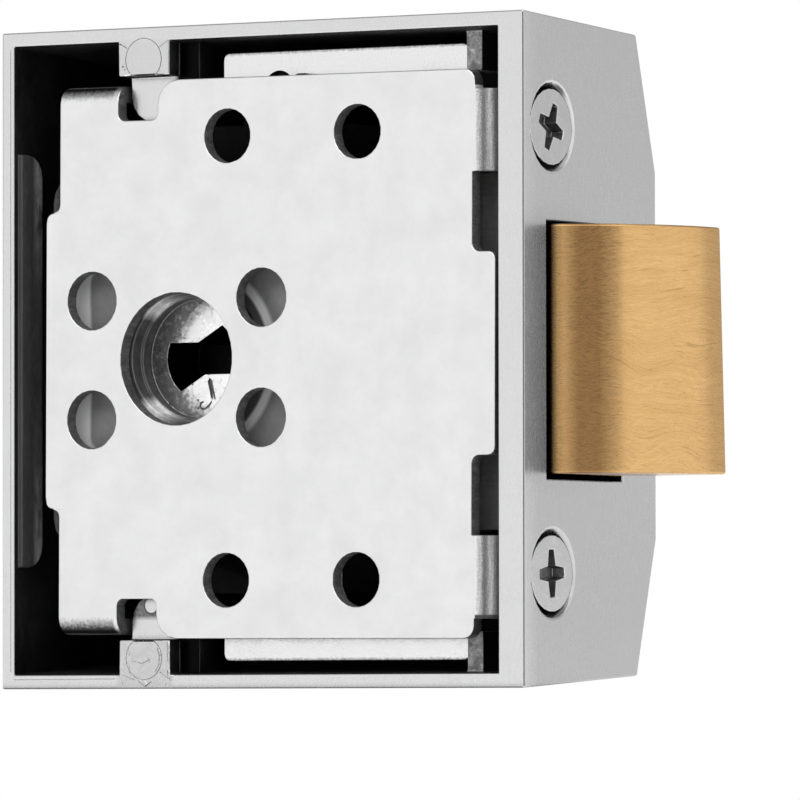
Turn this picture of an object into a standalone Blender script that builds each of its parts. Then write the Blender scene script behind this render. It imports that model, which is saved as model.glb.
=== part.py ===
"""Rim night latch, seen open from its door side, with its mounting plate hooked in place.

Blender 4.5, metres. +X runs towards the latch bolt, +Y from the door into the room, +Z up.
The origin lies on the door plane, on the flat of the mounting plate, at mid height.
"""

import math

import bmesh
import bpy
from mathutils import Vector

# Fits and cuts shared by all pieces
RUNNING_GAP = 0.0003
SEAT_GAP = 0.0002
OVERRUN = 0.0010
CORNER_STEPS = 4
ROUND_SEGMENTS = 24
FINE_SEGMENTS = 40
SMALL_SEGMENTS = 16
SHARP_ANGLE = math.radians(35)
HALF_STEP_SHARE = 0.5

# Overall case
FOREND_X = 0.0200
CASE_WIDTH = 0.0604
CASE_HEIGHT = 0.0650
CASE_DEPTH = 0.0250
FACET_FALL = 0.0037
CASE_CORNER_DEPTH = CASE_DEPTH - FACET_FALL
CASE_SIDE_DRAFT = 0.0012
CASE_BACK_DRAFT = 0.0012
SIDE_WALL = 0.00135
BACK_WALL = 0.0015
FOREND_WALL = 0.0029
ROOF_WALL = 0.0020
ROOF_Y = CASE_DEPTH - ROOF_WALL
INNER_HALF_HEIGHT = CASE_HEIGHT / 2 - SIDE_WALL
INNER_WIDTH = CASE_WIDTH - BACK_WALL

# How far a joined rib reaches into the wall that it stands on
WALL_BITE_SHARE = 0.75

# Hub place, the trade's 40 mm backset
BACKSET = 0.0400

# Mounting plate
PLATE_THICKNESS = 0.0016
PLATE_EDGE_GAP = 0.00375
PLATE_HALF_HEIGHT = INNER_HALF_HEIGHT - PLATE_EDGE_GAP
PLATE_RIGHT = 0.0057
PLATE_TONGUE_RIGHT = 0.0034
PLATE_TONGUE_HALF_HEIGHT = 0.0098
PLATE_GAP_RIGHT = 0.0060
PLATE_MIDDLE_LEFT = INNER_WIDTH - PLATE_EDGE_GAP
PLATE_EAR_SETBACK = 0.0014
PLATE_EAR_LEFT = PLATE_MIDDLE_LEFT - PLATE_EAR_SETBACK
PLATE_MIDDLE_HALF_HEIGHT = 0.0146
PLATE_CORNER = 0.0012
PLATE_EAR_CORNER = 0.0024
PLATE_STEP_CORNER = 0.0008
NOTCH_WIDTH = 0.0046
NOTCH_DEPTH = 0.0039
NOTCH_INNER_Z = PLATE_HALF_HEIGHT - NOTCH_DEPTH
NOTCH_CORNER = 0.0007
EAR_WIDTH = 0.0069
EAR_DROP = 0.0004
EAR_HALF_HEIGHT = PLATE_HALF_HEIGHT - EAR_DROP
EAR_BEND_RADIUS = 0.0017
EAR_DEPTH = 0.0042
NOTCH_LEFT = PLATE_EAR_LEFT - EAR_WIDTH
NOTCH_RIGHT = NOTCH_LEFT - NOTCH_WIDTH
LEG_INSET = 0.0059
LEG_CENTRE_Z = PLATE_HALF_HEIGHT - LEG_INSET
LEG_WIDTH = 0.0080
LEG_OUTER = 0.0032
LEG_BEND_RADIUS = 0.0024
LEG_DEPTH = 0.0095
CYLINDER_HOLE_RADIUS = 0.0065
FIXING_HOLE_RADIUS = 0.00265
FIXING_HOLE_FRONT = 0.0191
FIXING_HOLE_REAR = 0.0341
FIXING_HOLE_INSET = 0.0057
FIXING_HOLE_Z = PLATE_HALF_HEIGHT - FIXING_HOLE_INSET
SCREW_HOLE_RADIUS = 0.00287
SCREW_HOLE_OFFSET_X = 0.0099
SCREW_HOLE_OFFSET_Z = 0.00585

# Case lugs and the seats that the mounting plate lies on
LUG_WIDTH = 0.0060
LUG_FROM_NOTCH = 0.0003
LUG_LEFT = NOTCH_LEFT - LUG_FROM_NOTCH
LUG_INNER_Z = PLATE_HALF_HEIGHT + RUNNING_GAP
LUG_DEPTH = 0.0100
PLATE_SEAT_WIDTH = 0.0080
PLATE_SEAT_LAP = 0.0004
PLATE_SEAT_INNER_Z = NOTCH_INNER_Z - PLATE_SEAT_LAP
PLATE_SEAT_FROM_NOTCH = 0.0006
PLATE_SEAT_LEFT = NOTCH_LEFT - PLATE_SEAT_FROM_NOTCH
PLATE_SEAT_CORNER = 0.0027

# Cast posts in the two corners beside the forend
CORNER_POST_FROM_FOREND = 0.0062
CORNER_POST_WIDTH = 0.0018
CORNER_POST_LENGTH = 0.00415
CORNER_POST_INNER_Z = INNER_HALF_HEIGHT - CORNER_POST_LENGTH
CORNER_POST_TOP_Y = 0.0026
CORNER_POST_DEPTH = 0.0150

# Raised pad on the inside of the back wall
PAD_PROUD = 0.0005
PAD_START_Y = 0.0006
PAD_END_Y = 0.0043
PAD_HALF_HEIGHT = 0.0204
PAD_CORNER = 0.0022

# Cover plate's room behind the mounting plate
COVER_ROOM = 0.0016
COVER_FRONT_Y = PLATE_THICKNESS + COVER_ROOM
COVER_THICKNESS = 0.0012

# Bolt carriage, a folded channel riveted to the bolt
CARRIAGE_THICKNESS = 0.0015
CARRIAGE_NEAR_Y = COVER_FRONT_Y + COVER_THICKNESS + RUNNING_GAP
CARRIAGE_FRONT = 0.0033
CARRIAGE_HALF_HEIGHT = LEG_CENTRE_Z - LEG_WIDTH / 2 - SEAT_GAP
CARRIAGE_FLANGE_END = 0.0223
CARRIAGE_ROOF_GAP = 0.0037
CARRIAGE_FLANGE_FAR_Y = ROOF_Y - CARRIAGE_ROOF_GAP
CARRIAGE_WEB_HALF_HEIGHT = 0.0092
CARRIAGE_ARM_INNER_Z = 0.0120
DETENT_NOTCH_DEPTH = 0.0050

# The flat middle of the case's front reaches past the carriage
FACET_MARGIN = 0.0006
FACET_HALF_HEIGHT = CARRIAGE_HALF_HEIGHT + FACET_MARGIN

# Forend screws
FOREND_SCREW_Y = 0.0054
FOREND_HEAD_RADIUS = 0.0037
FOREND_HEAD_HEIGHT = 0.0020
FOREND_HEAD_EDGE = 0.0001
FOREND_SHANK_RADIUS = 0.00195
FOREND_SCREW_LENGTH = 0.0074
FOREND_HOLE_RADIUS = 0.0024
COUNTERSINK_HALF_WIDTH = 0.0041
COUNTERSINK_HALF_HEIGHT = 0.0044
COUNTERSINK_DEPTH = 0.0019
COUNTERSINK_NARROWING = 0.0015
CROSS_LENGTH = 0.0046
CROSS_WIDTH = 0.0009
CROSS_DEPTH = 0.0014
CROSS_CORE_RADIUS = 0.0010
CROSS_TURN_UPPER = math.radians(-20)
CROSS_TURN_LOWER = math.radians(3)

# Cover plate over the mechanism
COVER_RIGHT = 0.0080
COVER_WING_LEFT = 0.0364
COVER_EDGE_GAP = 0.00125
COVER_WING_HALF_HEIGHT = INNER_HALF_HEIGHT - COVER_EDGE_GAP
COVER_BACK_GAP = 0.0024
COVER_LEFT = INNER_WIDTH - COVER_BACK_GAP
COVER_HALF_HEIGHT = 0.0186
COVER_CORNER = 0.0030
COVER_WING_CORNER = 0.0008
DISH_SEAT_WIDTH = 0.0022
DISH_SLOPE_WIDTH = 0.0035
DISH_DEPTH = 0.0006
HEAD_CLEARANCE_RADIUS = 0.0042
LOCATING_HOLE_RADIUS = 0.0010
LOCATING_HOLE_FROM_FOREND = 0.0302
LOCATING_HOLE_INSET = 0.0037
LOCATING_HOLE_Z = COVER_WING_HALF_HEIGHT - LOCATING_HOLE_INSET
COVER_POST_RADIUS = 0.0024
COVER_POST_FRONT = 0.0266
COVER_POST_FRONT_INSET = 0.0045
COVER_POST_FRONT_Z = COVER_WING_HALF_HEIGHT - COVER_POST_FRONT_INSET
COVER_POST_REAR_INSET_X = 0.0031
COVER_POST_REAR = COVER_LEFT - COVER_POST_REAR_INSET_X
COVER_POST_REAR_INSET_Z = 0.0028
COVER_POST_REAR_Z = COVER_HALF_HEIGHT - COVER_POST_REAR_INSET_Z
COVER_SCREW_HEAD_RADIUS = 0.0021
COVER_SCREW_HEAD_HEIGHT = 0.0009
COVER_SCREW_SHANK_RADIUS = 0.0012
COVER_SCREW_LENGTH = 0.0060
COVER_SCREW_SLOT_WIDTH = 0.0006
COVER_SCREW_SLOT_DEPTH = 0.0005

# Latch bolt
BOLT_THROW = 0.0115
BOLT_HEIGHT = 0.0238
BOLT_NEAR_Y = 0.0048
BOLT_FAR_Y = 0.0181
BOLT_BACK = 0.0110
BOLT_SHOULDER = 0.0032
BOLT_NOSE_STEPS = 14
BOLT_SLOT_GAP = 0.0005

# Rivets of the bolt and its carriage
BOLT_RIVET_FROM_FOREND = 0.0075
BOLT_RIVET_Z = 0.0055
BOLT_RIVET_RADIUS = 0.0013
BOLT_RIVET_HEAD_RADIUS = 0.0021
BOLT_RIVET_HEAD_HEIGHT = 0.0007
BOLT_RIVET_LENGTH = 0.0050

# Bolt springs on their guide rods
SPRING_Z = 0.0080
SPRING_Y = 0.0136
SPRING_MEAN_RADIUS = 0.0023
SPRING_WIRE_RADIUS = 0.00035
SPRING_TURNS = 14
SPRING_TURN_POINTS = 8
SPRING_POCKET_RADIUS = 0.0033
SPRING_POCKET_DEPTH = 0.0030
SPRING_SEAT_RADIUS = 0.0032
SPRING_SEAT_HEIGHT = 0.0024
SPRING_SEAT_FROM_FOREND = INNER_WIDTH - SPRING_SEAT_HEIGHT
GUIDE_ROD_RADIUS = 0.0012
GUIDE_ROD_END = 0.0215
GUIDE_ROD_SOCKET_DEPTH = 0.0015

# Follower, the hub that takes the cylinder's flat tail bar
FOLLOWER_MOUTH_Y = PLATE_THICKNESS + RUNNING_GAP
FOLLOWER_BOWL_RADIUS = CYLINDER_HOLE_RADIUS - RUNNING_GAP
FOLLOWER_BOWL_STEP = 0.0003
FOLLOWER_BOWL_STEP_RADIUS = FOLLOWER_BOWL_RADIUS - FOLLOWER_BOWL_STEP
FOLLOWER_BOWL_STEP_DEPTH = 0.0015
FOLLOWER_BOWL_STEP_Y = FOLLOWER_MOUTH_Y + FOLLOWER_BOWL_STEP_DEPTH
FOLLOWER_COLLAR_WALL = 0.0010
FOLLOWER_COLLAR_RADIUS = FOLLOWER_BOWL_RADIUS + FOLLOWER_COLLAR_WALL
COVER_HUB_RADIUS = FOLLOWER_COLLAR_RADIUS + RUNNING_GAP
DISH_INNER_RADIUS = COVER_HUB_RADIUS + DISH_SEAT_WIDTH
DISH_OUTER_RADIUS = DISH_INNER_RADIUS + DISH_SLOPE_WIDTH
FOLLOWER_FLANGE_WIDTH = 0.0014
FOLLOWER_FLANGE_RADIUS = FOLLOWER_COLLAR_RADIUS + FOLLOWER_FLANGE_WIDTH
FOLLOWER_FLANGE_Y = COVER_FRONT_Y + COVER_THICKNESS + RUNNING_GAP
FOLLOWER_FLANGE_THICKNESS = 0.0014
FOLLOWER_FACE_DROP = 0.0002
FOLLOWER_FACE_Y = FOLLOWER_FLANGE_Y + FOLLOWER_FACE_DROP
FOLLOWER_BOSS_WIDTH = 0.0100
FOLLOWER_JOURNAL_RADIUS = 0.0042
FOLLOWER_JOURNAL_LENGTH = 0.0041
BOWTIE_RADIUS = 0.0040
BOWTIE_WAIST_HALF = 0.0016
BOWTIE_HALF_ANGLE = math.radians(38)
BOWTIE_TILT = math.radians(15)
BOWTIE_DEPTH = 0.0055
BOWTIE_ARC_STEPS = 6
SOCKET_WIDTH = 0.0048
SOCKET_DEPTH = 0.0025

# Drive cam on the follower
CAM_NEAR_Y = FOLLOWER_FLANGE_Y + FOLLOWER_FLANGE_THICKNESS + RUNNING_GAP
CAM_THICKNESS = 0.0030
CAM_FAR_Y = CAM_NEAR_Y + CAM_THICKNESS
CAM_REACH = 0.0115
CAM_HEAD_RADIUS = 0.0018
CAM_ARM_HALF_WIDTH = 0.0011
CAM_BODY_RADIUS = 0.0085
CAM_LEAN = math.radians(30)
CAM_SPRING_HOLE_FROM_HUB = 0.0069
CAM_SPRING_HOLE_RADIUS = 0.0007
FOLLOWER_END_Y = CAM_FAR_Y + FOLLOWER_JOURNAL_LENGTH

# The carriage's web and drive tab stop short of the follower
DRIVE_TAB_GAP = 0.0004
DRIVE_TAB_INNER_Z = FOLLOWER_FLANGE_RADIUS + DRIVE_TAB_GAP
CARRIAGE_WEB_GAP = 0.0006
CARRIAGE_WEB_END = BACKSET - FOLLOWER_FLANGE_RADIUS - BOLT_THROW - CARRIAGE_WEB_GAP

# Knob spindle, bush, washer and clip
SPINDLE_RADIUS = 0.0036
SPINDLE_START_GAP = 0.0003
SPINDLE_TENON_WIDTH = 0.0042
BUSH_RADIUS = 0.0054
BUSH_FLANGE_RADIUS = 0.0068
BUSH_FLANGE_THICKNESS = 0.0008
WASHER_RADIUS = 0.0080
WASHER_THICKNESS = 0.0005
CLIP_RADIUS = 0.0058
CLIP_THICKNESS = 0.0007
CLIP_GROOVE_DEPTH = 0.0007
CLIP_MOUTH_WIDTH = 0.0044

# Turn knob
KNOB_RADIUS = 0.0150
KNOB_HEIGHT = 0.0165
KNOB_NECK_RADIUS = 0.0072
KNOB_BORE_DEPTH = 0.0100
KNOB_FLUTES = 16
KNOB_FLUTE_DEPTH = 0.0004
KNOB_SEGMENTS = 64
GRUB_RADIUS = 0.0014
GRUB_LENGTH = 0.0030
GRUB_FROM_BASE = 0.0025

# Hub return spring and the peg it bears on
RETURN_SPRING_RADIUS = 0.0050
RETURN_SPRING_WIRE_RADIUS = 0.0004
RETURN_SPRING_LIFT = 0.0008
RETURN_SPRING_RISE = 0.0011
RETURN_SPRING_END_Y = CAM_FAR_Y + RETURN_SPRING_LIFT
RETURN_SPRING_START_Y = RETURN_SPRING_END_Y + RETURN_SPRING_RISE
RETURN_SPRING_LEG_LENGTH = 0.0105
RETURN_SPRING_POINTS = 26
PEG_FROM_HUB = 0.0095
PEG_Z = 0.0032
PEG_RADIUS = 0.0012
PEG_NEAR_Y = RETURN_SPRING_END_Y - RETURN_SPRING_LIFT

# Snib, the button that holds the bolt
SNIB_TRAVEL = 0.0045
SNIB_CATCH_FROM_FOREND = 0.0178
SNIB_CATCH_WIDTH = 0.0030
SNIB_CATCH_REACH = 0.0045
SNIB_CATCH_NEAR_Y = CARRIAGE_FLANGE_FAR_Y - SNIB_CATCH_REACH
SNIB_CATCH_HEIGHT = 0.0047
SNIB_CATCH_TOP_Z = CARRIAGE_HALF_HEIGHT + SNIB_CATCH_HEIGHT
SNIB_SLIDE_ROOM = 0.0031
SNIB_SLIDE_NEAR_Y = ROOF_Y - SNIB_SLIDE_ROOM
SNIB_SLIDE_THICKNESS = 0.0012
SNIB_SLIDE_WIDTH = 0.0066
SNIB_SLIDE_LOW_Z = 0.0015
SNIB_BUTTON_Z = 0.0080
SNIB_STEM_WIDTH = 0.0036
SNIB_BUTTON_WIDTH = 0.0072
SNIB_BUTTON_LENGTH = 0.0090
SNIB_BUTTON_HEIGHT = 0.0034
SNIB_BUTTON_CORNER = 0.0018
SNIB_GROOVES = 3
SNIB_GROOVE_PITCH = 0.0020
SNIB_GROOVE_WIDTH = 0.0009
SNIB_GROOVE_DEPTH = 0.0006
SNIB_RIVET_RADIUS = 0.0010
SNIB_RIVET_HEAD_RADIUS = 0.0018
SNIB_RIVET_HEAD_HEIGHT = 0.0006
SNIB_RIVET_LENGTH = 0.0040
LEAF_THICKNESS = 0.0003
LEAF_WIDTH = 0.0040
LEAF_LIFT = 0.0003
LEAF_LOW_Z = -0.0095
LEAF_HIGH_Z = 0.0045
LEAF_BUMP_RADIUS = 0.0010
LEAF_BUMP_Z = 0.0030
LEAF_RIVET_Z = -0.0070
LEAF_RIVET_RADIUS = 0.0009
LEAF_RIVET_HEAD_RADIUS = 0.0016
LEAF_RIVET_HEAD_HEIGHT = 0.0006
LEAF_RIVET_LENGTH = 0.0018
LEAF_BOSS_RADIUS = 0.0026

# Finishes: colour, metallic, roughness
SATIN_CHROME = ("satin_chrome", (0.62, 0.62, 0.62), 1.0, 0.28)
ZINC_STEEL = ("zinc_steel", (0.72, 0.72, 0.71), 0.9, 0.38)
BRIGHT_STEEL = ("bright_steel", (0.60, 0.60, 0.61), 1.0, 0.25)
DARK_STEEL = ("dark_steel", (0.28, 0.28, 0.29), 1.0, 0.45)
SPRING_STEEL = ("spring_steel", (0.45, 0.45, 0.47), 1.0, 0.30)
BRUSHED_BRASS = ("brushed_brass", (0.62, 0.40, 0.17), 1.0, 0.32)
BUSH_BRASS = ("bush_brass", (0.58, 0.42, 0.20), 1.0, 0.40)
ACETAL = ("acetal", (0.80, 0.79, 0.75), 0.0, 0.45)


def clear_scene():
    """Remove every object, so that the latch stands alone."""
    for old in list(bpy.data.objects):
        bpy.data.objects.remove(old, do_unlink=True)


def material_for(finish):
    """Return the Principled material of a finish, making it once."""
    name, colour, metallic, roughness = finish
    found = bpy.data.materials.get(name)
    if found:
        return found
    made = bpy.data.materials.new(name)
    made.use_nodes = True
    shader = made.node_tree.nodes["Principled BSDF"]
    shader.inputs["Base Color"].default_value = (*colour, 1.0)
    shader.inputs["Metallic"].default_value = metallic
    shader.inputs["Roughness"].default_value = roughness
    made.diffuse_color = (*colour, 1.0)
    return made


def from_forend(distance):
    """Turn a distance behind the forend's face into an x place."""
    return FOREND_X - distance


def object_from(name, mesh, finish=None):
    """Link a mesh to the scene as an object, with its finish and a smooth round surface."""
    made = bpy.data.objects.new(name, mesh)
    bpy.context.scene.collection.objects.link(made)
    if finish:
        mesh.materials.append(material_for(finish))
    mesh.shade_smooth()
    mesh.set_sharp_from_angle(angle=SHARP_ANGLE)
    return made


def mesh_from(name, points, faces):
    """Make a closed mesh from points and faces, with its faces pointing out."""
    mesh = bpy.data.meshes.new(name)
    mesh.from_pydata([tuple(p) for p in points], [], faces)
    work = bmesh.new()
    work.from_mesh(mesh)
    bmesh.ops.recalc_face_normals(work, faces=work.faces)
    work.to_mesh(mesh)
    work.free()
    return mesh


def in_space(axis, u, v, along):
    """Place a point (u, v) of a section, that far along the axis, in space."""
    if axis == "X":
        return (along, u, v)
    if axis == "Y":
        return (u, along, v)
    return (u, v, along)


def prism(name, outline, axis, start, end, finish=None):
    """Extrude a closed outline along an axis: (y, z) on X, (x, z) on Y, (x, y) on Z."""
    count = len(outline)
    points = [in_space(axis, u, v, start) for u, v in outline]
    points += [in_space(axis, u, v, end) for u, v in outline]
    faces = [list(range(count)), list(range(count, 2 * count))]
    for i in range(count):
        j = (i + 1) % count
        faces.append([i, j, count + j, count + i])
    return object_from(name, mesh_from(name, points, faces), finish)


def box(name, low, high, finish=None):
    """Make a box from its low corner to its high corner."""
    outline = [(low[0], low[1]), (high[0], low[1]), (high[0], high[1]), (low[0], high[1])]
    return prism(name, outline, "Z", low[2], high[2], finish)


def turned(name, profile, axis, centre, segments, finish=None, ring=False):
    """Turn a profile of (radius, along) points about an axis through centre.

    A ring's profile closes on itself. Any other gets a flat cap at both ends.
    """
    points = []
    for radius, along in profile:
        for i in range(segments):
            angle = math.tau * (i + HALF_STEP_SHARE) / segments
            u = centre[0] + radius * math.cos(angle)
            v = centre[1] + radius * math.sin(angle)
            points.append(in_space(axis, u, v, along))
    last = len(profile) - 1
    pairs = [(row, row + 1) for row in range(last)]
    if ring:
        pairs.append((last, 0))
        faces = []
    else:
        faces = [list(range(segments)), list(range(last * segments, (last + 1) * segments))]
    for low, high in pairs:
        for i in range(segments):
            j = (i + 1) % segments
            low_i, low_j = low * segments + i, low * segments + j
            high_i, high_j = high * segments + i, high * segments + j
            faces.append([low_i, low_j, high_j, high_i])
    return object_from(name, mesh_from(name, points, faces), finish)


def rod(name, axis, centre, radius, start, end, finish=None, segments=SMALL_SEGMENTS):
    """Make a plain round bar along an axis."""
    return turned(name, [(radius, start), (radius, end)], axis, centre, segments, finish)


def rounded(corners):
    """Round the corners (u, v, radius) of an outline with arcs."""
    outline = []
    count = len(corners)
    for i, (u, v, radius) in enumerate(corners):
        here = Vector((u, v))
        if radius == 0:
            outline.append((u, v))
            continue
        before = (Vector(corners[i - 1][:2]) - here).normalized()
        after = (Vector(corners[(i + 1) % count][:2]) - here).normalized()
        half = before.angle(after) / 2
        reach = radius / math.tan(half)
        middle = here + (before + after).normalized() * (radius / math.sin(half))
        first = here + before * reach - middle
        turn = first.angle_signed(here + after * reach - middle)
        for step in range(CORNER_STEPS + 1):
            angle = -turn * step / CORNER_STEPS
            spoke = Vector((
                first.x * math.cos(angle) - first.y * math.sin(angle),
                first.x * math.sin(angle) + first.y * math.cos(angle),
            ))
            outline.append(tuple(middle + spoke))
    return outline


def rectangle(u_low, v_low, u_high, v_high, radius=0):
    """Outline of a rectangle with rounded corners."""
    return rounded([
        (u_low, v_low, radius),
        (u_high, v_low, radius),
        (u_high, v_high, radius),
        (u_low, v_high, radius),
    ])


def arc(centre, radius, start, end, steps):
    """Points along an arc from one angle to another."""
    points = []
    for i in range(steps + 1):
        angle = start + (end - start) * i / steps
        points.append((centre[0] + radius * math.cos(angle), centre[1] + radius * math.sin(angle)))
    return points


def boolean(target, other, operation):
    """Add a Boolean to a piece and keep its other shape as a hidden guide."""
    change = target.modifiers.new(other.name, "BOOLEAN")
    change.operation = operation
    change.solver = "EXACT"
    change.object = other
    other.hide_render = True
    other.display_type = "WIRE"


def cut(target, *others):
    """Cut shapes out of a piece."""
    for other in others:
        boolean(target, other, "DIFFERENCE")


def join(target, *others):
    """Join shapes to a piece as one body."""
    for other in others:
        boolean(target, other, "UNION")


def axis_empty(name, place):
    """Make an empty that marks a joint's axis."""
    made = bpy.data.objects.new(name, None)
    made.location = place
    made.empty_display_size = BACKSET
    bpy.context.scene.collection.objects.link(made)
    return made


def hang(empty, *pieces):
    """Parent pieces to an empty that stands on their joint's axis, where they are."""
    for piece in pieces:
        piece.parent = empty
        piece.matrix_parent_inverse.identity()
        piece.location = piece.location - empty.location


def wire(name, points, radius, finish, resolution=1):
    """Make an unbroken round wire through points, with closed ends."""
    curve = bpy.data.curves.new(name, "CURVE")
    curve.dimensions = "3D"
    curve.bevel_depth = radius
    curve.bevel_resolution = resolution
    curve.use_fill_caps = True
    spline = curve.splines.new("POLY")
    spline.points.add(len(points) - 1)
    for slot, point in zip(spline.points, points):
        slot.co = (*point, 1.0)
    curve.materials.append(material_for(finish))
    made = bpy.data.objects.new(name, curve)
    bpy.context.scene.collection.objects.link(made)
    return made


def case_section(side_wall, roof_wall, mouth_y):
    """Section (y, z) of the case, shrunk by its walls, from its mouth to its three-facet front."""
    mouth = CASE_HEIGHT / 2 - side_wall
    corner = CASE_HEIGHT / 2 - CASE_SIDE_DRAFT - side_wall
    corner_y = CASE_CORNER_DEPTH - roof_wall
    front_y = CASE_DEPTH - roof_wall
    half = [(mouth_y, mouth), (corner_y, corner), (front_y, FACET_HALF_HEIGHT)]
    return half + [(y, -z) for y, z in reversed(half)]


def back_draft(depth):
    """How far the case's back wall leans in at a depth from its mouth."""
    return CASE_BACK_DRAFT * depth / CASE_CORNER_DEPTH


def roof_middle(height):
    """Depth at the middle of the case's faceted front wall at a height."""
    corner_height = CASE_HEIGHT / 2 - CASE_SIDE_DRAFT
    fall = max(abs(height) - FACET_HALF_HEIGHT, 0) / (corner_height - FACET_HALF_HEIGHT)
    return CASE_DEPTH - ROOF_WALL / 2 - FACET_FALL * fall


def drafted_block(name, section, start_x, end_x, finish=None):
    """Extrude a case section along X and lean its back end in with depth."""
    block = prism(name, section, "X", start_x, end_x, finish)
    for vertex in block.data.vertices:
        if abs(vertex.co.x - start_x) < SEAT_GAP:
            vertex.co.x += back_draft(vertex.co.y)
    return block


def countersink(name, height):
    """Oval countersink with its through hole, cut in the forend at a height."""
    rings = [
        (OVERRUN, OVERRUN),
        (0, 0),
        (-COUNTERSINK_DEPTH, -COUNTERSINK_NARROWING),
    ]
    points = []
    for along, growth in rings:
        half_y = COUNTERSINK_HALF_WIDTH + growth
        half_z = COUNTERSINK_HALF_HEIGHT + growth
        for i in range(ROUND_SEGMENTS):
            angle = math.tau * i / ROUND_SEGMENTS
            y = FOREND_SCREW_Y + half_y * math.cos(angle)
            points.append((FOREND_X + along, y, height + half_z * math.sin(angle)))
    faces = [list(range(ROUND_SEGMENTS))]
    last = (len(rings) - 1) * ROUND_SEGMENTS
    faces.append(list(range(last, last + ROUND_SEGMENTS)))
    for row in range(len(rings) - 1):
        for i in range(ROUND_SEGMENTS):
            j = (i + 1) % ROUND_SEGMENTS
            low = row * ROUND_SEGMENTS
            high = low + ROUND_SEGMENTS
            faces.append([low + i, low + j, high + j, high + i])
    return object_from(name, mesh_from(name, points, faces))


def forend_hole(name, height):
    """Clearance hole for a forend screw through the forend wall."""
    start = from_forend(FOREND_WALL + OVERRUN)
    return rod(name, "X", (FOREND_SCREW_Y, height), FOREND_HOLE_RADIUS, start, FOREND_X)


def cover_post_places():
    """Name, distance behind the forend and height of each cover screw's post."""
    return (
        ("upper_front", COVER_POST_FRONT, COVER_POST_FRONT_Z),
        ("lower_front", COVER_POST_FRONT, -COVER_POST_FRONT_Z),
        ("upper_rear", COVER_POST_REAR, COVER_POST_REAR_Z),
        ("lower_rear", COVER_POST_REAR, -COVER_POST_REAR_Z),
    )


def plate_seat_outline(sign):
    """Outline (x, z) of the cast seat that the mounting plate lies on, above or below."""
    left = from_forend(PLATE_SEAT_LEFT)
    right = left + PLATE_SEAT_WIDTH
    inner = sign * PLATE_SEAT_INNER_Z
    outer = sign * (CASE_HEIGHT / 2 - SIDE_WALL * WALL_BITE_SHARE)
    return rounded([(left, inner, PLATE_SEAT_CORNER), (right, inner, 0), (right, outer, 0), (left, outer, 0)])


def add_case_ribs(case):
    """Join the lugs, plate seats, corner posts, cover posts, pad, spring seats, peg and boss."""
    wall_z = CASE_HEIGHT / 2 - SIDE_WALL * WALL_BITE_SHARE
    lug_left = from_forend(LUG_LEFT)
    post_right = from_forend(CORNER_POST_FROM_FOREND)
    seat_root = from_forend(CASE_WIDTH - BACK_WALL / 2) + back_draft(SPRING_Y)
    for word, sign in (("upper", 1), ("lower", -1)):
        lug = rectangle(lug_left, sign * LUG_INNER_Z, lug_left + LUG_WIDTH, sign * wall_z)
        join(case, prism(f"lug_{word}", lug, "Y", 0, LUG_DEPTH))
        seat_y = PLATE_THICKNESS + SEAT_GAP
        join(case, prism(f"plate_seat_{word}", plate_seat_outline(sign), "Y", seat_y, LUG_DEPTH))
        post = rectangle(
            post_right - CORNER_POST_WIDTH, sign * CORNER_POST_INNER_Z, post_right, sign * wall_z
        )
        join(case, prism(f"corner_post_{word}", post, "Y", CORNER_POST_TOP_Y, CORNER_POST_DEPTH))
        seat = rod(
            f"spring_seat_{word}", "X", (SPRING_Y, sign * SPRING_Z), SPRING_SEAT_RADIUS,
            seat_root, from_forend(SPRING_SEAT_FROM_FOREND),
        )
        socket_end = from_forend(SPRING_SEAT_FROM_FOREND + GUIDE_ROD_SOCKET_DEPTH)
        socket = rod(
            f"guide_rod_socket_{word}", "X", (SPRING_Y, sign * SPRING_Z),
            GUIDE_ROD_RADIUS + RUNNING_GAP, socket_end, from_forend(SPRING_SEAT_FROM_FOREND) + OVERRUN,
        )
        join(case, seat)
        cut(case, socket)
    post_y = COVER_FRONT_Y + COVER_THICKNESS + SEAT_GAP
    for word, distance, height in cover_post_places():
        centre = (from_forend(distance), height)
        end_y = roof_middle(abs(height) + COVER_POST_RADIUS / 2)
        join(case, rod(f"cover_post_{word}", "Y", centre, COVER_POST_RADIUS, post_y, end_y))
        hole_end = post_y + COVER_SCREW_LENGTH
        radius = COVER_SCREW_SHANK_RADIUS + RUNNING_GAP
        cut(case, rod(f"cover_post_hole_{word}", "Y", centre, radius, post_y - OVERRUN, hole_end))
    inner_x = from_forend(INNER_WIDTH)
    pad = rounded([
        (PAD_START_Y, -PAD_HALF_HEIGHT, 0),
        (PAD_END_Y, -PAD_HALF_HEIGHT, PAD_CORNER),
        (PAD_END_Y, PAD_HALF_HEIGHT, PAD_CORNER),
        (PAD_START_Y, PAD_HALF_HEIGHT, 0),
    ])
    join(case, prism("back_wall_pad", pad, "X", inner_x - BACK_WALL / 2, inner_x + PAD_PROUD))
    roof_bite = ROOF_Y + ROOF_WALL / 2
    peg_centre = (from_forend(BACKSET + PEG_FROM_HUB), -PEG_Z)
    join(case, rod("return_spring_peg", "Y", peg_centre, PEG_RADIUS, PEG_NEAR_Y, roof_bite))
    boss_centre = (from_forend(SNIB_CATCH_FROM_FOREND), LEAF_RIVET_Z)
    boss_y = SNIB_SLIDE_NEAR_Y + SNIB_SLIDE_THICKNESS + LEAF_LIFT + LEAF_THICKNESS + SEAT_GAP
    join(case, rod("leaf_boss", "Y", boss_centre, LEAF_BOSS_RADIUS, boss_y, roof_bite))
    hole_radius = LEAF_RIVET_RADIUS + RUNNING_GAP
    hole_end = boss_y + LEAF_RIVET_LENGTH
    cut(case, rod("leaf_boss_hole", "Y", boss_centre, hole_radius, boss_y - OVERRUN, hole_end))


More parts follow.
